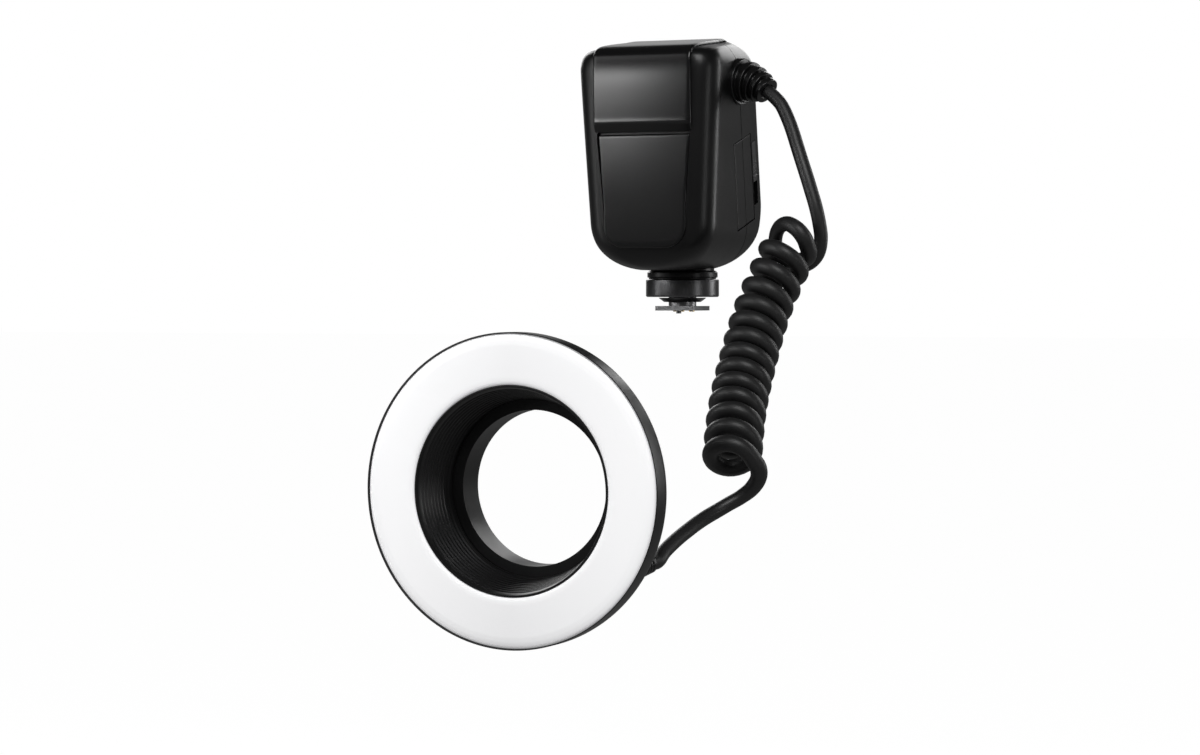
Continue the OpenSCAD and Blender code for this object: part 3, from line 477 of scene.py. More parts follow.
def inside_unit(p, grow):
    """Whether points lie inside the unit's form: inside the rounded rectangle at their height."""
    x, y, z = np.abs(p[..., 0]), p[..., 1], p[..., 2]
    w, f, b, rf, rb = section_of(z, grow)
    front = np.hypot(np.maximum(x - w + rf, 0), np.maximum(f + rf - y, 0)) <= rf
    rear = np.hypot(np.maximum(x - w + rb, 0), np.maximum(y - b + rb, 0)) <= rb
    return front & rear & (z < UNIT_TOP + grow) & (z > UNIT_BOTTOM - grow)


def cast(start, direction, grow=0.0, reach=60.0):
    """Where rays from inside leave the form: the stretch between an inner and an outer point is halved."""
    start, direction = np.broadcast_arrays(start, direction)
    near = np.zeros(start.shape[:-1])
    far = np.full(start.shape[:-1], reach)
    for _ in range(36):
        middle = (near + far) / 2
        held = inside_unit(start + middle[..., None] * direction, grow)
        near = np.where(held, middle, near)
        far = np.where(held, far, middle)
    return start + near[..., None] * direction


def raised(surface, a, b, height):
    """Points of a surface of two parameters, moved out along its normal by a height."""
    step = 0.04
    across = surface(a + step, b) - surface(a - step, b)
    along = surface(a, b + step) - surface(a, b - step)
    return surface(a, b) + np.asarray(height)[..., None] * unit(np.cross(across, along))


def front_surface(x, z):
    """Front of the form at x and z."""
    x, z = np.broadcast_arrays(np.asarray(x, float), z)
    start = np.stack([x, np.full(x.shape, FRONT_SPINE[0]), z], axis=-1)
    return cast(start, np.array([0.0, -1.0, 0.0]))


def hood_surface(x, b):
    """Front, brow and top of the form: b runs up the front, over the brow and back along the top."""
    x, b = np.broadcast_arrays(np.asarray(x, float), b)
    spine_y, spine_z = FRONT_SPINE
    up = np.minimum(b, 0)
    turn = np.clip(b / HOOD_TURN, 0, 1) * pi / 2
    back = np.maximum(b - HOOD_TURN, 0)
    start = np.stack([x, spine_y + back, spine_z + up], axis=-1)
    return cast(start, np.stack([0 * x, -np.cos(turn), np.sin(turn)], axis=-1))


def right_surface(u, v):
    """Right side of the form at u and v of the seam frame."""
    u, v = np.broadcast_arrays(np.asarray(u, float), v)
    return cast(seam_place(0 * u + 15.0, u, v), np.array([1.0, 0.0, 0.0]))


def panel_surface(x, v):
    """Plane of the rear panel's outer face, seen from behind."""
    return seam_place(-np.asarray(x, float), PANEL_TOP_U, v)


# Skins and keys that follow a surface
def plate(name, surface, across, along, thick, sunk, extra=None):
    """Closed skin over a rectangle of a surface. Its height is sunk plus the product of two edge profiles.

    across and along hold the parameter and the share of the height. Its underside lies at sunk.
    """
    a, rise_a = np.asarray(across).T
    b, rise_b = np.asarray(along).T
    height = sunk + (thick - sunk) * rise_a[None, :] * rise_b[:, None]
    if extra is not None:
        height = height + extra(a[None, :], b[:, None])
    grid_a, grid_b = np.broadcast_arrays(a[None, :], b[:, None])
    upper = raised(surface, grid_a, grid_b, height)
    under = raised(surface, grid_a, grid_b, np.full(height.shape, sunk))
    rows, cols = height.shape
    faces = quads(rows, cols).tolist() + (quads(rows, cols)[:, ::-1] + rows * cols).tolist()
    points = np.concatenate([upper.reshape(-1, 3), under.reshape(-1, 3)])
    return thing(name, mesh_of(name, points, faces, SKIN_SHARP))


def pad(name, surface, outline, profile, rows, lean=None):
    """Closed pad over an outline of a surface: rings moved in along its normal, then drawn to its middle.

    profile holds the inset and height of each ring, from the sunk border inwards. lean may add to the height.
    """
    ahead = np.roll(outline, -1, axis=0) - np.roll(outline, 1, axis=0)
    inward = unit(np.stack([-ahead[:, 1], ahead[:, 0]], axis=-1))
    inset, height = np.asarray(profile).T
    rings = outline[None] + inset[:, None, None] * inward[None]
    middle = outline.mean(axis=0)
    share = np.linspace(1, 0, rows)[1:, None, None]
    upper = np.concatenate([rings, middle + share * (rings[-1:] - middle)])
    heights = np.concatenate([height, np.full(rows - 1, height[-1])])
    under = middle + np.linspace(0, 1, 5)[:-1, None, None] * (rings[:1] - middle)
    flat = np.concatenate([under, upper])
    heights = np.concatenate([np.full(4, height[0]), heights])
    lift = np.broadcast_to(heights[:, None], flat.shape[:2])
    if lean:
        lift = lift + lean(flat[..., 1])
    return grid_thing(name, raised(surface, flat[..., 0], flat[..., 1], lift), False, True, SKIN_SHARP)


def edged(low, high, edge, drop, count, steps):
    """Parameter and share of a level skin: upright walls, and round edges that fall by the share drop."""
    t = np.linspace(0, 1, steps)
    share = 1 - drop * rounding(1.0, t)
    level = np.linspace(low + edge, high - edge, count)[1:-1]
    a = np.concatenate([[low], low + edge * t, level, (high - edge * t)[::-1], [high]])
    return np.stack([a, np.concatenate([[0], share, np.ones(len(level)), share[::-1], [0]])], axis=1)


def round_outline(half_w, low, high, radii, count=9):
    """Outline with round corners, anticlockwise from the lower right. radii are the lower and the upper."""
    turn = np.linspace(0, pi / 2, count)
    lower, upper = radii
    corners = [(1, low, lower, -1), (1, high, upper, 0), (-1, high, upper, 1), (-1, low, lower, 2)]
    parts = []
    for side, level, r, quarter in corners:
        x = side * (half_w - r)
        y = level + r if level == low else level - r
        angle = turn + quarter * pi / 2
        parts.append(np.stack([x + r * np.cos(angle), y + r * np.sin(angle)], axis=-1))
    return np.concatenate(parts)


def dense(outline, spacing):
    """Outline with points added so that none are further apart than the spacing."""
    after = np.roll(outline, -1, axis=0)
    length = np.linalg.norm(after - outline, axis=1)
    at = np.concatenate([[0], np.cumsum(length)])
    want = np.linspace(0, at[-1], int(at[-1] / spacing), endpoint=False)
    closed = np.concatenate([outline, outline[:1]])
    keep = np.unique(np.concatenate([at[:-1], want]).round(5))
    return np.stack([np.interp(keep, at, closed[:, k]) for k in range(2)], axis=-1)


def prism(name, place, outline, low, high):
    """Plain closed prism over an outline, used to cut."""
    count = len(outline)
    grid = np.stack([place(*outline.T, np.full(count, level)) for level in (low, high)])
    faces = quads(2, count, False, True).tolist() + [list(range(count)), list(range(count, 2 * count))]
    return thing(name, mesh_of(name, grid, faces))


def seam_prism(name, outline, low, high):
    """Prism along u over an outline in x and v of the seam frame."""
    return prism(name, lambda x, v, u: seam_place(x, u, v), outline, low, high)


def box_outline(a0, a1, b0, b1):
    """Four corners of a rectangle."""
    return np.array([[a0, b0], [a1, b0], [a1, b1], [a0, b1]], float)


def circle(x, y, r, count=48):
    """Outline of a circle."""
    turn = np.linspace(0, 2 * pi, count, endpoint=False)
    return np.stack([x + r * np.cos(turn), y + r * np.sin(turn)], axis=-1)


# Shader nodes and groups
def feed(tree, socket, value):
    """A socket takes a number, a colour or another node's output."""
    if isinstance(value, bpy.types.NodeSocket):
        tree.links.new(value, socket)
    else:
        socket.default_value = value


def fill(tree, node, **sockets):
    """Sockets of a node by name, with spaces as underscores."""
    for label, value in sockets.items():
        feed(tree, node.inputs[label.replace("_", " ")], value)


def add(tree, kind, **sockets):
    """New shader node with its sockets filled by name."""
    made = tree.nodes.new("ShaderNode" + kind)
    fill(tree, made, **sockets)
    return made


def arithmetic(tree, kind, operation, *values):
    """New node of arithmetic with its sockets filled in order."""
    made = add(tree, kind)
    made.operation = operation
    for socket, value in zip(made.inputs, values):
        feed(tree, socket, value)
    return made


def object_place(tree):
    """Object coordinates."""
    return add(tree, "TexCoord").outputs["Object"]


def noise(tree, scale, detail, source=None, rough=0.5):
    """Noise over Object coordinates or another source."""
    source = source or object_place(tree)
    return add(tree, "TexNoise", Scale=scale, Detail=detail, Roughness=rough, Vector=source).outputs["Fac"]


def spread(tree, value, low, high, to_low=0.0, to_high=1.0):
    """Value carried from one range to another and kept inside it."""
    made = add(tree, "MapRange", Value=value, From_Min=low, From_Max=high, To_Min=to_low, To_Max=to_high)
    return made.outputs["Result"]


def new_group(name, inputs, outputs):
    """Empty shader group with float inputs and their defaults, and float outputs."""
    tree = bpy.data.node_groups.new(name, "ShaderNodeTree")
    for label, value in inputs.items():
        socket = tree.interface.new_socket(label, in_out="INPUT", socket_type="NodeSocketFloat")
        socket.default_value = value
    for label in outputs:
        tree.interface.new_socket(label, in_out="OUTPUT", socket_type="NodeSocketFloat")
    return tree, tree.nodes.new("NodeGroupInput"), tree.nodes.new("NodeGroupOutput")


def grain_group():
    """Spark-eroded mould grain: rounded cells broken up by fine noise. Height for bumps, tone for colour."""
    tree, given, out = new_group("moulded grain", {"Cells": 2600.0}, ["Height", "Tone"])
    size = given.outputs["Cells"]
    cells = add(tree, "TexVoronoi", Scale=size, Vector=object_place(tree))
    cells.feature = "SMOOTH_F1"
    fine = noise(tree, size, 3.0)
    both = arithmetic(tree, "Math", "MULTIPLY_ADD", cells.outputs["Distance"], 0.6, fine)
    fill(tree, out, Height=both.outputs[0], Tone=spread(tree, fine, 0.35, 0.65))
    return tree


def handling_group():
    """Slow change of gloss over a surface that is wiped and handled: broad clouds with finer smears."""
    tree, given, out = new_group("handled gloss", {"Low": 0.3, "High": 0.4}, ["Roughness", "Tone"])
    broad = noise(tree, 38.0, 2.0)
    smear = noise(tree, 240.0, 4.0, rough=0.6)
    both = arithmetic(tree, "Math", "MULTIPLY_ADD", smear, 0.4, broad).outputs[0]
    gloss = spread(tree, both, 0.5, 0.9, given.outputs["Low"], given.outputs["High"])
    fill(tree, out, Roughness=gloss, Tone=spread(tree, both, 0.5, 0.9))
    return tree


def machined_group():
    """Fine turning marks round the foot's axis: noise drawn out level, so that it changes with height."""
    tree, given, out = new_group("turning marks", {"Lines": 5000.0}, ["Height"])
    level = arithmetic(tree, "VectorMath", "MULTIPLY", object_place(tree), (0.02, 0.02, 1.0))
    fill(tree, out, Height=noise(tree, given.outputs["Lines"], 2.0, level.outputs[0]))
    return tree


GRAIN = grain_group()
HANDLED = handling_group()
TURNED = machined_group()


def add_group(tree, group, **values):
    """Group placed in a material with its own values."""
    made = add(tree, "Group")
    made.node_tree = group
    fill(tree, made, **values)
    return made


def handled(tree, rough):
    """Handled gloss between two roughnesses."""
    return add_group(tree, HANDLED, Low=rough[0], High=rough[1]).outputs


def two_tones(tree, tone, dark, light):
    """Colour between two tones by a share that changes over the surface."""
    made = add(tree, "Mix")
    made.data_type = "RGBA"
    fill(tree, made, Factor=tone, A=(*dark, 1), B=(*light, 1))
    return made.outputs["Result"]


def bump(tree, height, strength, distance):
    """Normal bumped by a height."""
    return add(tree, "Bump", Strength=strength, Distance=distance, Height=height).outputs["Normal"]


def material(name, **sockets):
    """Material with one shader, whose uniform values are set on its own sockets."""
    made = bpy.data.materials.new(name)
    made.use_nodes = True
    shader = made.node_tree.nodes["Principled BSDF"]
    fill(made.node_tree, shader, **sockets)
    return made, made.node_tree, shader


def moulded(name, dark, light, rough, cells, depth, specular, strength=0.5):
    """Moulded plastic or rubber: two close tones, handled gloss and a fine grain."""
    made, tree, shader = material(name, Specular_IOR_Level=specular)
    grain = add_group(tree, GRAIN, Cells=cells).outputs
    fill(tree, shader, Roughness=handled(tree, rough)["Roughness"],
         Base_Color=two_tones(tree, grain["Tone"], dark, light),
         Normal=bump(tree, grain["Height"], strength, depth))
    return made


def turned_metal(name, dark, light, rough, lines, metallic=1.0, specular=0.5):
    """Turned or brushed metal: marks in the normal, handled gloss and two close tones."""
    made, tree, shader = material(name, Metallic=metallic, Specular_IOR_Level=specular)
    gloss = handled(tree, rough)
    marks = add_group(tree, TURNED, Lines=lines).outputs["Height"]
    fill(tree, shader, Roughness=gloss["Roughness"], Base_Color=two_tones(tree, gloss["Tone"], dark, light),
         Normal=bump(tree, marks, 0.25, 0.00002))
    return made


def sheet(name, colour, rough, **sockets):
    """Clear or smoked sheet or glass with a little handling in its gloss."""
    made, tree, shader = material(name, Base_Color=(*colour, 1), **sockets)
    fill(tree, shader, Roughness=handled(tree, rough)["Roughness"])
    return made


def diffuser_with_painted_glow(name):
    """White diffuser with a painted glow, an emission that stands in for light, brighter at its left and
    right: the share grows with |x|.
    """
    made = moulded(name, (0.84, 0.84, 0.845), (0.87, 0.87, 0.875), (0.38, 0.46), 1800.0, 0.00003, 0.35, 0.2)
    tree = made.node_tree
    across = add(tree, "SeparateXYZ", Vector=object_place(tree)).outputs["X"]
    share = spread(tree, arithmetic(tree, "Math", "ABSOLUTE", across).outputs[0], 0.0, 0.05)
    glow = two_tones(tree, share, (0.19, 0.19, 0.195), (0.29, 0.29, 0.295))
    # Painted glow: the emission stands in for light on the diffuser, which is no lamp, and is stronger at the
    # left and right
    fill(tree, tree.nodes["Principled BSDF"], Emission_Strength=1.0, Emission_Color=glow)
    return made


# Finishes by material slot
BLACKENED = ("ring_screws",)
FINISH = {
    "case_plastic": moulded("satin_black_case", (0.0025, 0.0025, 0.0027), (0.0035, 0.0035, 0.0037),
                            (0.33, 0.38), 2600.0, 0.00001, 0.35),
    "fascia_plastic": moulded("smooth_black_fascia", (0.0032, 0.0032, 0.0034), (0.004, 0.004, 0.0042),
                              (0.2, 0.215), 4200.0, 0.000001, 0.45),
    "panel_plastic": moulded("black_panel", (0.004, 0.004, 0.0042), (0.0056, 0.0056, 0.0058),
                             (0.34, 0.4), 3000.0, 0.00001, 0.4),
    "window_clear": sheet("smoked_window", (0.02, 0.021, 0.022), (0.06, 0.1), Alpha=0.35),
    "display_glass": moulded("display_cell", (0.2, 0.23, 0.21), (0.21, 0.24, 0.22),
                             (0.2, 0.24), 5000.0, 0.0000002, 0.4),
    "key_plastic": moulded("dark_grey_keys", (0.016, 0.016, 0.017), (0.022, 0.022, 0.023),
                           (0.42, 0.48), 3200.0, 0.000015, 0.4),
    "circuit_board": moulded("green_board", (0.005, 0.016, 0.01), (0.008, 0.022, 0.014),
                             (0.3, 0.4), 1500.0, 0.00001, 0.5),
    "component_dark": moulded("blue_black_sleeve", (0.02, 0.026, 0.05), (0.03, 0.038, 0.07),
                              (0.3, 0.38), 2200.0, 0.00001, 0.4),
    "winding": moulded("varnished_winding", (0.15, 0.085, 0.035), (0.22, 0.13, 0.06),
                       (0.25, 0.38), 1400.0, 0.00004, 0.5),
    "silicone": moulded("grey_silicone", (0.28, 0.3, 0.31), (0.34, 0.36, 0.37),
                        (0.5, 0.6), 2400.0, 0.00002, 0.4),
    "contact_metal": turned_metal("gold_plating", (0.78, 0.56, 0.2), (0.86, 0.64, 0.26),
                                  (0.18, 0.28), 5200.0),
    "battery_wrap": moulded("battery_moulding", (0.012, 0.012, 0.013), (0.017, 0.017, 0.018),
                            (0.38, 0.46), 2600.0, 0.00002, 0.35),
    "black_metal": turned_metal("black_anodised_metal", (0.09, 0.09, 0.092), (0.12, 0.12, 0.123),
                                (0.3, 0.36), 5200.0),
    "bare_metal": turned_metal("plain_steel", (0.22, 0.22, 0.225), (0.28, 0.28, 0.285), (0.34, 0.42), 4800.0),
    "black_rubber": moulded("boot_rubber", (0.003, 0.003, 0.0031), (0.005, 0.005, 0.0052),
                            (0.3, 0.36), 2000.0, 0.000015, 0.45),
    "cord_jacket": moulded("cord_jacket_black", (0.007, 0.007, 0.0072), (0.0105, 0.0105, 0.0108),
                           (0.44, 0.5), 2200.0, 0.00002, 0.5),
    # The diffuser's finish carries a painted glow, brighter at the left and right
    "diffuser_white": diffuser_with_painted_glow("milky_diffuser_painted_glow"),
    "reflector_bright": turned_metal("bright_reflector", (0.8, 0.8, 0.81), (0.88, 0.88, 0.89),
                                     (0.12, 0.2), 900.0),
    "lamp_glass": sheet("tube_glass", (0.93, 0.96, 0.98), (0.01, 0.04), Transmission_Weight=1.0, IOR=1.49),
    "holder_white": moulded("white_holder", (0.66, 0.66, 0.65), (0.74, 0.74, 0.73),
                            (0.4, 0.5), 2400.0, 0.00002, 0.4),
    "adapter_metal": turned_metal("dark_anodised_adapter", (0.004, 0.004, 0.0042), (0.006, 0.006, 0.0063),
                                  (0.34, 0.42), 5200.0, 0.0, 0.35),
}


def settle(made, body, slot, *nodes):
    """A finished piece gets its finish, rides on its body and stands for its CAD nodes."""
    made.data.materials.clear()
    made.data.materials.append(FINISH[slot])
    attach(made, body)
    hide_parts(*nodes)


# Shells of the control unit
def boot_place():
    """Start of the cable boot on the right side, and its directions at the case and at its tip."""
    start = np.array([float(side_of(np.array(BOOT_Z), 0.0)), float(seam_of(BOOT_Z)), BOOT_Z])
    return start, unit(BOOT_OUT), unit(BOOT_BENT)


def half_space(name, ahead):
    """Large box on one side of the seam, short of the seam plane by the seam's gap."""
    ends = (-FAR, -SEAM_GAP) if ahead else (SEAM_GAP, FAR)
    return seam_prism(name, box_outline(-FAR, FAR, -FAR, FAR), *ends)


def case_form(name):
    """Hollow case before it parts: the form with its foot pad, less a form one wall smaller and openings."""
    case = unit_form(name, 0.0)
    foot = circle(0, 0, FOOT_PAD_R, 96)
    carve(case, prism("pad", flat_place, foot, UNIT_BOTTOM, UNIT_BOTTOM + FOOT_PAD_T), "UNION")
    carve(case, unit_form("hollow", -WALL, 10, 6))
    door = box_outline(-DOOR_U - MOVE_GAP, DOOR_U + MOVE_GAP, -DOOR_V - MOVE_GAP, DOOR_V + MOVE_GAP)
    carve(case, prism("door", side_place, door, DOOR_CUT_X, PAST_SIDE))
    start, out, _ = boot_place()
    carve(case, bore("neck", BOOT_NECK_R + BOOT_NECK_GAP, -8.0, 6.0, axis_place(start, out)))
    return case


def front_shell():
    """Front half of the case, with the seat of the shield."""
    shell = carve(case_form("front_moulding"), half_space("behind", True), "INTERSECT")
    carve(shell, shield_recess(), crossing=True)
    settle(shell, ROOT, "case_plastic", "front_shell")


def rear_shell():
    """Rear half of the case, with the latch pocket, the rebate of the rear panel and two screw holes."""
    shell = carve(case_form("rear_moulding"), half_space("ahead", False), "INTERSECT")
    ends = (LATCH_POCKET_V - MOVE_GAP, LATCH_V[1] + MOVE_GAP)
    pocket = box_outline(LATCH_U[0] - MOVE_GAP, LATCH_U[1] + MOVE_GAP, *ends)
    bed = float(side_of(np.array(BAY_Z), 0.0)) - LATCH_T - MOVE_GAP
    tilt = UNIT_TAPER * np.cos(LEAN)
    carve(shell, prism("pocket", lambda u, v, x: seam_place(x + tilt * v, u, v), pocket, bed, PAST_SIDE))
    half_w, low, high = PANEL_W / 2, PANEL_V, PANEL_V + PANEL_H
    seat = round_outline(half_w + PANEL_GAP, low - PANEL_GAP, high + PANEL_GAP, (PANEL_R, PANEL_R))
    carve(shell, seam_prism("rebate", seat, PANEL_TOP_U - PANEL_T - 0.05, PAST_REAR))
    opening = round_outline(half_w - PANEL_LEDGE, low + PANEL_LEDGE, high - PANEL_LEDGE, (2.0, 2.0))
    carve(shell, seam_prism("opening", opening, 16.0, PAST_REAR))
    for side in (-1, 1):
        hole = circle(side * CASE_SCREW_X, CASE_SCREW_V, CASE_SCREW_R)
        carve(shell, seam_prism("screw_hole", hole, CASE_SCREW_U[0], PAST_REAR))
    settle(shell, ROOT, "case_plastic", "rear_shell")


def case_screws():
    """Two case screws: softened heads with a cross recess, on plain shanks."""
    foot, under, top = CASE_SCREW_U
    shank_r, head_r = CASE_SCREW_RADII
    axis = seam_place(0, 1, 0) - seam_place(0, 0, 0)
    corners = [(0, foot), (shank_r, foot), (shank_r, under), (head_r, under), (head_r, top), (0, top)]
    profile = soften(0.4, corners, closed=False, steps=5)
    both = []
    for side in (-1, 1):
        x = side * CASE_SCREW_X
        place = axis_place(seam_place(x, 0, CASE_SCREW_V), axis)
        screw = lathe("case_screws_crossed", profile, place, 40, False)
        for w, h in (CROSS, CROSS[::-1]):
            recess = box_outline(x - w, x + w, CASE_SCREW_V - h, CASE_SCREW_V + h)
            carve(screw, seam_prism("recess", recess, top - CROSS_DEPTH, PAST_REAR))
        both.append(screw)
    settle(carve(both[0], both[1], "UNION"), ROOT, "black_metal", "case_screws")


# Front fascia
def hood():
    """Upper fascia: a skin up the front, over the brow and along the top, with a lip bevelled to its root.

    A small bead, a bell curve, stands on the lip, and the far end falls in a quarter round.
    """
    root = HOOD_ROOT_Z - FRONT_SPINE[1]
    lip = HOOD_LIP_Z - FRONT_SPINE[1]
    end = HOOD_TURN + HOOD_END_Y - FRONT_SPINE[0]
    above = lip + 1.0
    bevel = np.stack([np.linspace(root, lip, 6), np.linspace(LIP_FOOT, 1, 6)], axis=1)
    corners = np.concatenate([[[root, 0.0]], bevel, [[end, 1.0], [end, 0.0]]])
    along = soften(0.45, corners, closed=False, steps=5)
    level = np.linspace(above, end, 110)
    bead = LIP_BEAD * np.exp(-(((level - lip) / LIP_BEAD_W) ** 2))
    fall = 1 + bead - HOOD_END_FALL * rounding(1.0, (end - level) / HOOD_END_L)
    along = np.concatenate([along[along[:, 0] < above], np.stack([level, fall], axis=1), [[end, 0.0]]])
    across = edged(-HOOD_HALF_W, HOOD_HALF_W, 1.1, 0.75, 44, 8)
    made = plate("hood_skin", hood_surface, across, along, HOOD_T, SUNK)
    settle(made, ROOT, "fascia_plastic", "upper_fascia")


def shield_outline():
    """Outline of the lower fascia: slanted sides, two large lower corners and two small upper ones."""
    turn = np.linspace(0, pi / 2, 14)
    r = SHIELD_R
    lower = np.stack([SHIELD_FOOT_W - r + r * np.sin(turn), SHIELD_BOTTOM_Z + r - r * np.cos(turn)], axis=-1)
    bend = np.array([[SHIELD_FOOT_W, SHIELD_BOTTOM_Z + 2 * r]])
    r = SHIELD_TOP_R
    upper = np.stack([SHIELD_TOP_W - r + r * np.cos(turn), SHIELD_TOP_Z - r + r * np.sin(turn)], axis=-1)
    right = np.concatenate([lower, bend, upper])
    left = right[::-1] * [-1, 1]
    return dense(np.concatenate([right, left]), 0.8)


def shield_lean(z):
    """How far the shield lies back at a height: nothing at its foot, most at its top."""
    return -SHIELD_LEAN * np.clip((z - SHIELD_BOTTOM_Z) / (SHIELD_TOP_Z - SHIELD_BOTTOM_Z), 0, 1)


def shield_recess():
    """Solid that cuts the shield's leaning seat, a gap wider than the shield and open to the hood's root."""
    outline = shield_outline()
    ahead = np.roll(outline, -1, axis=0) - np.roll(outline, 1, axis=0)
    wide = outline + SHIELD_GAP * unit(np.stack([ahead[:, 1], -ahead[:, 0]], axis=-1))
    upper = wide[:, 1] > SHIELD_TOP_Z - 0.6
    wide[upper, 1] += HOOD_ROOT_Z - SHIELD_TOP_Z
    profile = [(0.0, SUNK), (0.0, 4.0)]
    return pad("shield_seat", front_surface, wide, profile, SHIELD_ROWS, lean=shield_lean)


def shield():
    """Lower fascia: a shield-shaped skin with a rounded border, which leans back under the hood."""
    t = np.linspace(0, 1, 7)
    border = np.stack([0.9 * t, SHIELD_T - 0.75 * rounding(1.0, t)], axis=1)
    profile = np.concatenate([[[0.0, SUNK]], border])
    made = pad("shield_skin", front_surface, shield_outline(), profile, SHIELD_ROWS, lean=shield_lean)
    settle(made, ROOT, "fascia_plastic", "lower_fascia")


# Battery door and latch
def battery_door():
    """End cap of the battery: a skin flush with the side, with the seam's groove carried across it."""
    edge = edged(-DOOR_U, DOOR_U, 0.5, 0.22, 12, 6)
    slot = DOOR_GROOVE / 2
    dip = 1 - DOOR_GROOVE_DEPTH / DOOR_DEPTH
    groove = [[-slot, 1], [-slot, dip], [slot, dip], [slot, 1]]
    across = np.concatenate([edge[edge[:, 0] < -slot], groove, edge[edge[:, 0] > slot]])
    along = edged(-DOOR_V, DOOR_V, 0.5, 0.22, 24, 6)
    made = plate("battery_door", right_surface, across, along, 0.0, -DOOR_DEPTH)
    settle(made, "battery", "case_plastic", "battery_end_cap")


def latch():
    """Sliding latch: a thin rounded bar with finger ribs at its lower end, each half a sine wave."""
    first = LATCH_V[0] + 2

    def ribs(u, v):
        place = (v - first) / 2
        on = (place > -0.05) & (place < LATCH_RIBS - 0.5)
        wave = np.clip(1.6 * np.sin(pi * np.clip((place % 1.0) / 0.45, 0, 1)), 0, 1)
        inside = (u > LATCH_U[0] + 0.5) & (u < LATCH_U[1] - 0.5)
        return LATCH_RIB_H * np.where(on & inside, wave, 0)

    across = edged(*LATCH_U, 0.3, 0.14, 8, 5)
    along = edged(*LATCH_V, 0.3, 0.14, 150, 5)
    made = plate("latch_bar", right_surface, across, along, LATCH_PROUD, -LATCH_T, ribs)
    settle(made, "battery_latch", "key_plastic", "battery_latch")


# Rear panel
def panel():
    """Rear panel: a flat plate with softened edges and cut-outs for the window, keys, dial and switch."""
    whole = round_outline(PANEL_W / 2, PANEL_V, PANEL_V + PANEL_H, (PANEL_R, PANEL_R), 14)
    made = seam_prism("rear_panel", whole, PANEL_TOP_U - PANEL_T, PANEL_TOP_U)
    through = (PANEL_TOP_U - 4, PANEL_TOP_U + 2)
    half_w, low, high = WINDOW_W / 2, WINDOW_V, WINDOW_V + WINDOW_H
    seat = round_outline(half_w + 0.05, low - 0.05, high + 0.05, (1.5, 1.5))
    carve(made, seam_prism("window_seat", seat, PANEL_TOP_U - 1, through[1]))
    window = round_outline(half_w - 1, low + 1, high - 1, (1, 1))
    reach = KEY_H / 2 + MOVE_GAP
    key_hole = round_outline(KEY_W / 2 + MOVE_GAP, KEY_V - reach, KEY_V + reach, (1.5, 1.5))
    key_holes = [key_hole + [x, 0] for x in key_places()]
    dial_hole = circle(0, DIAL_V, DIAL_R + MOVE_GAP, 96)
    test_hole = circle(SIDE_KEY_X, SIDE_KEY_V, TEST_R + MOVE_GAP, 64)
    reach = (SWITCH_H + SWITCH_TRAVEL) / 2 + MOVE_GAP
    slot = round_outline(SWITCH_W / 2 + MOVE_GAP, SIDE_KEY_V - reach, SIDE_KEY_V + reach, (0.3, 0.3), 4)
    for hole in (window, *key_holes, dial_hole, test_hole, slot - [SIDE_KEY_X, 0]):
        carve(made, seam_prism("hole", hole, *through))
    edge = made.modifiers.new("soft edges", "BEVEL")
    edge.width = 0.25 * MM
    edge.segments = 3
    edge.limit_method = "ANGLE"
    edge.angle_limit = radians(50)
    settle(made, ROOT, "panel_plastic", "control_panel")


def key_places():
    """Places across of the function keys."""
    return (np.arange(KEYS) - (KEYS - 1) / 2) * KEY_PITCH


def function_keys():
    """Keys in a row with round corners: an upright wall, a soft edge and a crowned top."""
    outline = dense(round_outline(KEY_W / 2, -KEY_H / 2, KEY_H / 2, (KEY_R, KEY_R)), 0.3)
    rise = KEY_TOP_U - PANEL_TOP_U
    t = np.linspace(0, 1, 6)
    wall = [[0.0, KEY_BOTTOM_U - PANEL_TOP_U]]
    edge = np.stack([0.5 * t, rise - KEY_CROWN - 0.4 * rounding(1.0, t)], axis=1)
    crest = [[0.9, rise - 0.4 * KEY_CROWN], [1.1, rise]]
    profile = np.concatenate([wall, edge, crest])
    for i, x in enumerate(key_places(), 1):
        made = pad(f"function_key_{i}", panel_surface, outline + [-x, KEY_V], profile, 6)
        settle(made, f"function_button_{i}", "key_plastic", f"function_button_{i}")


def test_key():
    """Round test key with a dished top."""
    corners = [(0, KEY_BOTTOM_U), (TEST_R, KEY_BOTTOM_U), (TEST_R, KEY_TOP_U), (2.2, KEY_TOP_U),
               (0, KEY_TOP_U - 0.3)]
    made = lathe("test_key", soften(0.4, corners, False), panel_place(SIDE_KEY_X, SIDE_KEY_V), 72, False)
    settle(made, "test_button", "key_plastic", "test_button")


def power_slider():
    """Power switch: a block with a soft edge and finger ridges, a cosine wave, across its top."""
    middle = SIDE_KEY_V - SWITCH_TRAVEL / 2
    half_w, half_h = SWITCH_W / 2, SWITCH_H / 2
    across = edged(SIDE_KEY_X - half_w, SIDE_KEY_X + half_w, 0.35, 0.1, 8, 5)
    along = edged(middle - half_h, middle + half_h, 0.35, 0.1, 90, 5)

    def ridges(x, v):
        inner = (np.abs(v - middle) < half_h - 0.4) & (np.abs(np.abs(x) - SIDE_KEY_X) < half_w - 0.3)
        return np.where(inner, RIDGE_H * np.cos(2 * pi * RIDGES_PER_MM * (v - middle)) - RIDGE_H, 0)

    made = plate("power_slider", panel_surface, across, along, 1.0, -3.6, ridges)
    settle(made, "power_switch", "key_plastic", "power_switch")


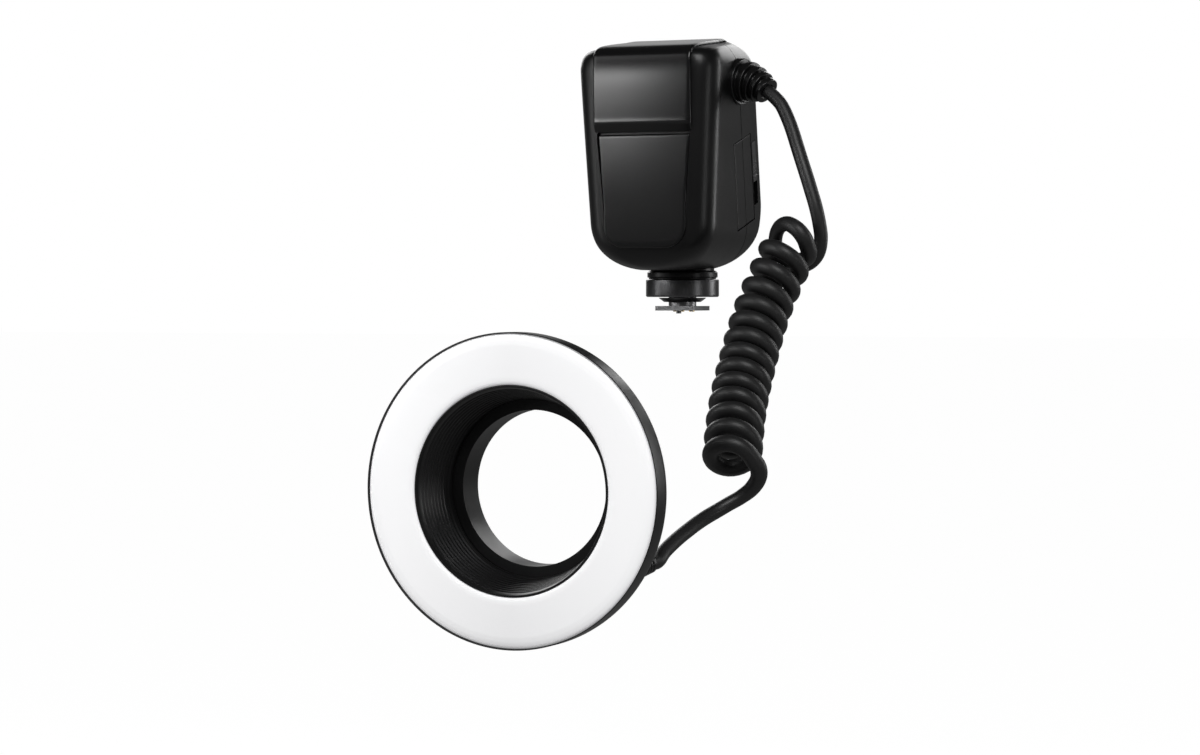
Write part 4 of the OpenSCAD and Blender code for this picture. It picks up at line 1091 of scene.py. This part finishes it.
def dial():
    """Select dial: a ring whose rim is cut by cosine-shaped finger grips."""
    inner_r = SET_R + MOVE_GAP
    low = PANEL_TOP_U - PANEL_T - 1.5
    shoulder = DIAL_TOP_U - 0.5
    corners = [(inner_r, low), (DIAL_R, low), (DIAL_R, DIAL_TOP_U), (DIAL_R - 2.4, DIAL_TOP_U),
               (inner_r + 0.5, DIAL_TOP_U - 0.35), (inner_r, shoulder)]

    def grips(r, turn, u):
        rim = np.clip((r - DIAL_R + 1.2) / 1.2, 0, 1) * np.clip((u - PANEL_TOP_U - 0.3) / 0.4, 0, 1)
        return r - 0.42 * rim * np.clip(np.cos(DIAL_GRIPS * turn), 0, 1) ** 1.5

    walls = np.linspace(low, shoulder, 24)[1:-1]
    outer = np.stack([np.full(len(walls), DIAL_R), walls], axis=1)
    profile = soften(0.45, corners, True, 6)
    split = int(np.argmax(profile[:, 1] > shoulder))
    profile = np.concatenate([profile[:split], outer, profile[split:]])
    made = lathe("select_wheel", profile, panel_place(0, DIAL_V), 360, True, waist=grips)
    settle(made, "select_dial", "panel_plastic", "select_dial")


def set_key():
    """Round set key with a dished top, inside the dial."""
    top = DIAL_TOP_U - 0.4
    corners = [(0, KEY_BOTTOM_U), (SET_R, KEY_BOTTOM_U), (SET_R, top - 0.2), (SET_R - 0.6, top),
               (0, top - 0.35)]
    made = lathe("set_key", soften(0.35, corners, False), panel_place(0, DIAL_V), 96, False)
    settle(made, "set_button", "key_plastic", "set_button")


# Shoe foot
def foot():
    """Lock ring, clamp washer and flange: softened profiles turned round the upright axis."""
    z0, z1 = LOCK_Z
    recess_r, recess_z = SPIGOT_R + MOVE_GAP, SPIGOT_Z - MOVE_GAP
    lock = [(STEM_BORE, z0), (LOCK_R - 0.5, z0), (LOCK_R, z0 + 0.5), (LOCK_R, z1 - 0.5), (LOCK_R - 0.5, z1),
            (recess_r, z1), (recess_r, recess_z), (STEM_BORE, recess_z)]
    made = lathe("lock_wheel", soften(0.35, lock, steps=5), upright_place, 192)
    settle(made, "lock_ring", "black_metal", "lock_ring")
    z0, z1 = WASHER_Z
    washer = [(STEM_BORE, z0), (WASHER_R[0], z0), (WASHER_R[1], z1), (STEM_BORE, z1)]
    made = lathe("clamp_plate", soften(0.3, washer, steps=5), upright_place, 144)
    settle(made, "clamp", "black_metal", "clamp_washer")
    z0, z1 = FLANGE_Z
    flange = [(0, z0), (STEM_R, z0), (STEM_R, SPIGOT_Z), (SPIGOT_R, SPIGOT_Z), (SPIGOT_R, z0),
              (FLANGE_R - 0.2, z0), (FLANGE_R, z0 + 0.2), (FLANGE_R, z1 - 0.9), (FLANGE_R - 0.9, z1), (0, z1)]
    made = lathe("foot_collar", soften(0.3, flange, False, 5), upright_place, 192, False)
    for x in FOOT_SCREW_X:
        for y in FOOT_SCREW_Y:
            carve(made, prism("screw_hole", flat_place, circle(x, y, FOOT_SCREW_R), *FOOT_SCREW_Z))
    settle(made, ROOT, "case_plastic", "foot_flange")


# Cable boot
def boot_axis(f):
    """Points and directions along the boot: the direction turns evenly from the shell to the tip."""
    start, inward, bent = boot_place()
    f = np.asarray(f, float)
    part = f[..., None] * (np.arange(20) + 0.5) / 20
    turned = unit(inward * (1 - part[..., None]) + bent * part[..., None])
    here = start + BOOT_L * f[..., None] * turned.mean(axis=-2)
    return here, unit(inward * (1 - f[..., None]) + bent * f[..., None])


def boot_rib(k):
    """Share of the boot's length at the middle of rib k."""
    return (k + 1 - BOOT_RIB_SHARE / 2) / BOOT_RIBS


def boot():
    """Ribbed strain relief: softened ribs and grooves turned round a bent axis, seated on the case's side."""
    step = BOOT_L / BOOT_RIBS
    half = BOOT_RIB_SHARE * step / 2
    top = step * 0.8
    profile = [(0.0, BOOT_R[0]), (top, BOOT_R[0])]
    for k in range(1, BOOT_RIBS):
        middle = boot_rib(k) * BOOT_L
        r = BOOT_R[0] + (BOOT_R[1] - BOOT_R[0]) * k / (BOOT_RIBS - 1)
        low = r - BOOT_GROOVE
        profile += [(profile[-1][0], low), (middle - half, low), (middle - half, r), (middle + half, r)]
    tip = profile[-1][0]
    profile += [(tip, CORD_D / 2 + 0.4), (tip - 0.8, CORD_D / 2), (tip - 0.8, 0.0)]
    rows = soften(0.42, profile, closed=False, steps=6)
    sides = 96
    turn = np.linspace(0, 2 * pi, sides, endpoint=False)
    here, ahead = boot_axis(rows[:, 0] / BOOT_L)
    level = unit(np.cross(ahead, [0.0, 0.0, 1.0]))
    other = np.cross(ahead, level)
    around = np.cos(turn)[None, :, None] * level[:, None] + np.sin(turn)[None, :, None] * other[:, None]
    outer = here[:, None] + rows[:, 1][:, None, None] * around
    start, inward, _ = boot_place()
    seat_r = np.array([BOOT_NECK_R, BOOT_R[0]])[:, None, None]
    seat = cast(start + seat_r * around[:1] - 12 * inward, inward, 0.1)
    neck = start + np.array([0.0, BOOT_NECK_R])[:, None, None] * around[:1] - BOOT_NECK_L * inward
    made = grid_thing("strain_relief", np.concatenate([neck, seat, outer[1:]]), False, True)
    settle(made, ROOT, "black_rubber", "cable_boot")


# Cord
UPPER_POINTS = [(53.1, -19.7, 88.3), (56.6, -21.1, 82.4), (59.5, -22.5, 76.2), (62, -23.9, 70),
                (64.5, -25.1, 63.7), (67, -26.1, 57.3), (69.3, -26.8, 50.9), (71.4, -27, 44.3),
                (72.8, -26.5, 37.5), (73.2, -25.3, 30.7), (71.4, -24, 24.3), (66.7, -23.3, 20),
                (60.7, -24, 19.3), (55.9, -26.3, 22.5), (54.5, -29.8, 27.8), (56.3, -34.2, 32.7),
                (60.1, -39, 36), (65.1, -43.4, 36.7), (70.1, -45.4, 34)]
COIL_AXIS = np.array([(64, -39, 27), (58, -54, 2), (57, -70, -20), (59, -88, -40), (66, -113, -61)], float)
COIL_RIGHT = np.array([0.92, 0.39, 0.0])
COIL_TURNS = (-0.06, CURLS - 0.1)
LOWER_POINTS = [(75.7, -107.8, -66.1), (72.5, -106.8, -70.7), (68, -107.6, -74.3), (63.5, -110.1, -77.2),
                (59.8, -113.8, -79.9), (57, -118.4, -82.2), (54.9, -123.4, -84.5), (53.3, -128.6, -86.8),
                (51.9, -133.9, -89.1), (50.6, -139.1, -91.6), (49.5, -144.2, -94.3)]
GLAND_BASE = np.array([44.6, -162.8, -99.6])
GLAND_DIR = unit([0.3, 0.94, 0.15])
GLAND_L = 9.5
GLAND_R = (4.6, 3.7)


def route_at(points, s):
    """Smooth route through points: at s, a cubic through the two points on either side."""
    p = np.asarray(points, float)
    p = np.concatenate([[2 * p[0] - p[1]], p, [2 * p[-1] - p[-2]]])
    i = np.clip(np.floor(s).astype(int), 0, len(p) - 4)
    t = (s - i)[:, None]
    a, b, c, d = (p[i + k] for k in range(4))
    return 0.5 * (2 * b + (c - a) * t + (2 * a - 5 * b + 4 * c - d) * t**2 + (3 * b - a - 3 * c + d) * t**3)


def curl_at(turns):
    """Points of the curls: a left-handed helix round the curved axis."""
    s = turns * (len(COIL_AXIS) - 1) / CURLS
    ahead = unit(route_at(COIL_AXIS, s + 0.01) - route_at(COIL_AXIS, s - 0.01))
    right = unit(COIL_RIGHT - ahead * (ahead @ COIL_RIGHT)[:, None])
    turn = 2 * pi * turns[:, None]
    return route_at(COIL_AXIS, s) + CURL_R * (np.cos(turn) * right + np.sin(turn) * np.cross(right, ahead))


def cord_route():
    """The cord's middle from the boot to the gland, and its radius: upper lead, curls and lower lead."""
    tip, out = boot_axis(np.array([boot_rib(BOOT_RIBS - 1)]))
    tip = tip[0] + BOOT_RIB_SHARE / 2 * BOOT_L / BOOT_RIBS * out[0]
    start, stop = (np.array([t]) for t in COIL_TURNS)
    first, last = curl_at(start)[0], curl_at(stop)[0]
    into = unit(curl_at(start + 0.002) - curl_at(start - 0.002))[0]
    away = unit(curl_at(stop + 0.002) - curl_at(stop - 0.002))[0]
    gland_tip = GLAND_BASE + GLAND_L * GLAND_DIR
    upper = [tip, tip + 3 * out[0], *UPPER_POINTS, first - CORD_D * into, first]
    lower = [last, last + CORD_D * away, *LOWER_POINTS, gland_tip + 4.8 * GLAND_DIR, gland_tip]
    ahead = route_at(upper, np.linspace(0, len(upper) - 2, 8 * (len(upper) - 2) + 1))
    curls = curl_at(np.linspace(*COIL_TURNS, int(CURLS * CURL_RINGS)))
    behind = route_at(lower, np.linspace(1, len(lower) - 1, 8 * (len(lower) - 2) + 1))
    path = np.concatenate([ahead, curls, behind])
    swell = np.concatenate([lead_radius(len(ahead), LEAD_SWELL), np.full(len(curls), CURL_D / 2),
                            lead_radius(len(behind), 1.4 * LEAD_SWELL)[::-1]])
    return path, swell


def lead_radius(count, share):
    """Radius along a lead: level, then a smooth rise over its last share to the radius of the curls."""
    f = np.clip(np.linspace(0, 1, count) - 1 + share, 0, 1) / share
    return CORD_D / 2 + (CURL_D - CORD_D) / 2 * f * f * (3 - 2 * f)


def cord():
    """One round tube along the route. The ring's first direction is carried on square to the route."""
    path, swell = cord_route()
    ahead = unit(np.gradient(path, axis=0))
    side = [unit(np.cross(ahead[0], [0.0, 0.0, 1.0]))]
    for direction in ahead[1:]:
        side.append(unit(side[-1] - direction * (side[-1] @ direction)))
    side = np.array(side)
    turn = np.linspace(0, 2 * pi, CORD_SIDES, endpoint=False)[None, :, None]
    around = np.cos(turn) * side[:, None] + np.sin(turn) * np.cross(ahead, side)[:, None]
    grid = path[:, None] + swell[:, None, None] * around
    ends = [np.broadcast_to(path[k], (1, CORD_SIDES, 3)) for k in (0, -1)]
    made = grid_thing("curly_cord", np.concatenate([ends[0], grid, ends[1]]), False, True, ROUND_SHARP)
    settle(made, ROOT, "cord_jacket", "cord_upper_lead", "cord_coil", "cord_lower_lead")


# Ring head
def ring_housing():
    """Housing: a rim, a rounded shoulder, a tapered back and a collar, cut for the releases and the gland."""
    outer = [(RIM_R, 0), (RIM_R, 8.5), (RIM_R - 0.2, 10), (RIM_R - 0.7, 11.3), (RIM_R - 1.5, 12.7),
             (BACK_R, 25.5), (BACK_R, RING_D)]
    collar = [(COLLAR_R, RING_D), (COLLAR_R, COLLAR_FLOOR), (SEAT_R, COLLAR_FLOOR), (SEAT_R, 22.6)]
    hollow = [(44, 22.6), (44, 24.2), (48.4, 24.2), (60.6, 9.5), (60.6, 2.3), (61.6, 2.3), (61.6, 0)]
    made = lathe("ring_body", soften(0.3, outer + collar + hollow, steps=5), ring_place)
    for side in (-1, 1):
        across = sorted(side * x for x in RELEASE_X)
        window = box_outline(*across, -RELEASE_HALF_H - RING_H, RELEASE_HALF_H - RING_H)
        carve(made, prism("window", front_place, window, *(depth - RING_L for depth in RELEASE_DEPTH)))
    carve(made, bore("gland_hole", GLAND_R[0] + 0.1, -2.0, 17.0, axis_place(GLAND_BASE, GLAND_DIR)))
    settle(made, ROOT, "case_plastic", "ring_housing")


def ring_diffuser():
    """Diffuser: a shallow crowned ring with rounded borders."""
    inner, outer = DIFFUSER_R
    profile = [(inner, 2.2), (inner, 0.4), (inner + 0.4, -0.1), (inner + 1.2, -0.45), (inner + 2.6, -0.6),
               (outer - 4.4, -0.6), (outer - 2.4, -0.35), (outer - 1, 0.1), (outer - 0.25, 0.7), (outer, 1.4),
               (outer, 2.2)]
    made = lathe("white_diffuser", soften(0.5, profile, steps=5), ring_place, sharp=ROUND_SHARP)
    settle(made, ROOT, "diffuser_white", "diffuser")


def ring_tunnel():
    """Tunnel: a tapered wall with fine grooves inside, a front lip and a rear flange."""
    front_r, rear_r = TUNNEL_R

    def wall(depth):
        return front_r + (rear_r - front_r) * depth / TUNNEL_L

    lip = front_r + 0.8
    rear = TUNNEL_L - 1
    outer = [(front_r, 0.2), (lip, 0.2), (lip, 2.3), (lip + TUNNEL_WALL, 2.3), (lip + TUNNEL_WALL, 3.3),
             (wall(3) + TUNNEL_WALL, 4), (wall(rear) + TUNNEL_WALL, rear), (TUNNEL_FLANGE_R, TUNNEL_L - 0.2),
             (TUNNEL_FLANGE_R, TUNNEL_END), (rear_r, TUNNEL_END), (rear_r, TUNNEL_L)]
    pitch = (TUNNEL_L - 4) / TUNNEL_GROOVES
    inner = []
    for k in reversed(range(TUNNEL_GROOVES)):
        z = 3 + k * pitch
        crest, bed = z + 0.7 * pitch, z + 0.35 * pitch
        inner += [(wall(crest), crest), (wall(bed) + TUNNEL_GROOVE, bed), (wall(z), z)]
    made = lathe("tunnel", soften(0.12, outer + inner, steps=3), ring_place)
    settle(made, ROOT, "panel_plastic", "inner_baffle")


def ring_cover():
    """Rear cover of the ring head, with countersinks."""
    made = lathe("ring_back_cover", soften(0.25, box_outline(*COVER_R, *COVER_DEPTH)), ring_place)
    for angle in np.radians(COVER_SCREWS):
        x, z = COVER_SCREW_R * np.cos(angle), -RING_H - COVER_SCREW_R * np.sin(angle)
        spot = circle(x, z, COUNTERSINK_R, 32)
        carve(made, prism("countersink", front_place, spot, 29.5 - RING_L, 34 - RING_L))
    settle(made, ROOT, "case_plastic", "ring_rear_cover")


def gland():
    """Gland of the cord: a tapered sleeve with grooves, each half a sine wave."""
    depth = np.linspace(0, GLAND_L, 40)
    taper = GLAND_R[0] + (GLAND_R[1] - GLAND_R[0]) * depth / GLAND_L
    groove = 0.35 * np.clip(np.sin(2 * pi * (depth - 3.2) / 1.9), 0, 1) * (depth > 3.2) * (depth < 8.8)
    rows = np.stack([taper - groove, depth], axis=1)
    rows = np.concatenate([[[0, 0]], rows, [[CORD_D / 2, GLAND_L], [0, GLAND_L]]])
    made = lathe("cord_gland", rows, axis_place(GLAND_BASE, GLAND_DIR), 48, False)
    settle(made, ROOT, "black_rubber", "ring_gland")


def adapter():
    """Adapter: a flange and a neck, with a screw thread whose radius follows depth less turn."""
    inner, flange, neck, thread = 31.0, 42.0, 35.1, 33.5
    z0, z1, z2, z3 = 23.0, 25.6, 32.4, 36.9
    corners = [(inner, z0), (flange, z0), (flange, z1), (neck, z1), (neck, z2), (thread, z2)]
    head = soften(0.25, corners, closed=False)
    depth = np.linspace(z2 + 0.1, z3, 60)
    body = np.stack([np.full(len(depth), thread), depth], axis=1)
    rows = np.concatenate([head, body, [[inner, z3], [inner, z0]]])

    def cut(r, turn, depth):
        wave = np.abs(((depth / THREAD_PITCH - turn / (2 * pi)) % 1.0) - 0.5) * 2
        on = (np.abs(r - thread) < 0.01) & (depth > z2 + 0.3) & (depth < z3 - 0.2)
        return np.where(on, r - THREAD_DEPTH * wave, r)

    made = lathe("screw_adapter", rows, ring_place, waist=cut)
    settle(made, "adapter", "adapter_metal", "adapter_ring")


# View, light and floor
def photo_view():
    """View from the place and at the angle of the photograph."""
    view = bpy.data.cameras.new("photo_view")
    view.sensor_width = SENSOR_W
    view.lens = FOCAL_LENGTH
    view.clip_end = 50
    made = thing("photo_view", view)
    made.location = VIEW_PLACE
    across, down = radians(VIEW_ACROSS), radians(VIEW_DOWN)
    look = (-np.sin(across) * np.cos(down), np.cos(across) * np.cos(down), -np.sin(down))
    face(made, look)
    bpy.context.scene.camera = made


def face(made, direction):
    """Turns the view or a lamp to look in a direction."""
    made.rotation_mode = "QUATERNION"
    made.rotation_quaternion = Vector(direction).to_track_quat("-Z", "Y")


def softbox(name, place, aim, size, radiance):
    """Area light that faces a point. Its power follows from its radiance and its area."""
    lamp = bpy.data.lights.new(name, "AREA")
    lamp.shape = "RECTANGLE"
    lamp.size, lamp.size_y = size
    lamp.energy = radiance * pi * size[0] * size[1]
    made = thing(name, lamp)
    made.location = place
    face(made, Vector(aim) - Vector(place))
    made.visible_camera = False


def lights():
    """Two strips ahead of the fascia, one behind the right corner, a key at the right and boxes around."""
    softbox("front_strip", (-0.22, -0.297, 0.109), (-0.22, 0.0, 0.09), (0.245, 0.014), 19.0)
    softbox("front_low_strip", (-0.228, -0.297, 0.086), (-0.228, 0.0, 0.08), (0.245, 0.012), 6.0)
    softbox("right_strip", (0.47, 0.385, 0.13), (0.03, -0.04, 0.07), (0.08, 0.4), 8.0)
    softbox("right_key", (0.38, -0.75, 0.6), (0.04, -0.08, 0.0), (0.4, 0.4), 9.0)
    softbox("front_left", (-0.9, -1.1, 0.5), (0.0, -0.1, 0.0), (0.8, 0.8), 1.6)
    softbox("left_strip", (-0.8, -0.4, 0.02), (0.0, 0.0, 0.0), (0.1, 0.3), 5.0)
    softbox("right_side_strip", (0.85, -0.31, 0.02), (0.0, 0.0, 0.0), (0.1, 0.3), 5.0)
    softbox("rear_left", (-0.8, 0.8, 0.5), (0.0, -0.05, 0.03), (0.5, 0.6), 3.5)
    softbox("rear_high", (0.05, 1.2, 0.55), (0.0, 0.02, 0.06), (0.7, 0.4), 3.4)


def glow_by_ray(tree, seen, mirrored, lighting):
    """Strength by kind of ray: what is seen or shows through, what is mirrored, and what lights."""
    rays = add(tree, "LightPath").outputs
    straight = arithmetic(tree, "Math", "MAXIMUM", rays["Is Camera Ray"], rays["Is Transmission Ray"])
    plain = spread(tree, straight.outputs[0], 0, 1, lighting, seen)
    return spread(tree, rays["Is Glossy Ray"], 0, 1, plain, mirrored)


def backdrop():
    """White background for what is seen, and a soft grey for what lights.

    Mirrored rays see the white backdrop where it stands, behind the object, and a dim studio elsewhere.
    """
    world = bpy.data.worlds.new("studio")
    bpy.context.scene.world = world
    world.use_nodes = True
    tree = world.node_tree
    ray = add(tree, "TexCoord").outputs["Generated"]
    facing = arithmetic(tree, "VectorMath", "DOT_PRODUCT", ray, (-0.39, 0.92, 0.0))
    mirrored = spread(tree, facing.outputs["Value"], 0.86, 0.95, 0.03, 0.6)
    strength = glow_by_ray(tree, 1.0, mirrored, 0.45)
    fill(tree, tree.nodes["Background"], Color=(1, 1, 1, 1), Strength=strength)


def pale_floor():
    """Pale floor that keeps the shadow: grey paint, with a glow for what is seen."""
    corners = np.array([[[-1, -1, 0], [1, -1, 0]], [[-1, 1, 0], [1, 1, 0]]])
    floor = grid_thing("pale_floor", FLOOR_HALF_W * corners + [0, 0, FLOOR_Z])
    made, tree, shader = material("pale_floor_paint", Roughness=0.9, Specular_IOR_Level=0.0,
                                  Base_Color=(0.2, 0.2, 0.2, 1))
    glow = add(tree, "Emission", Strength=glow_by_ray(tree, 0.9, 0.04, 0.0))
    both = add(tree, "AddShader")
    feed(tree, both.inputs[0], shader.outputs[0])
    feed(tree, both.inputs[1], glow.outputs[0])
    fill(tree, tree.nodes["Material Output"], Surface=both.outputs[0])
    floor.data.materials.append(made)


for make in (photo_view, cord, front_shell, rear_shell, case_screws, hood, shield, battery_door, latch, panel,
             function_keys, test_key, power_slider, dial, set_key, foot, boot, ring_housing, ring_diffuser,
             ring_tunnel, ring_cover, gland, adapter):
    make()

# Every CAD node that still shows takes the finish of its slot, and the ring's screws are blackened
for row in frame["record"]["subparts"]:
    node = frame["nodes"][row["node"]]
    slot = "black_metal" if row["node"] in BLACKENED else row["material_slot"]
    node.data.materials.clear()
    node.data.materials.append(FINISH[slot])

for make in (lights, backdrop, pale_floor):
    make()
bpy.context.scene.view_settings.view_transform = "Standard"
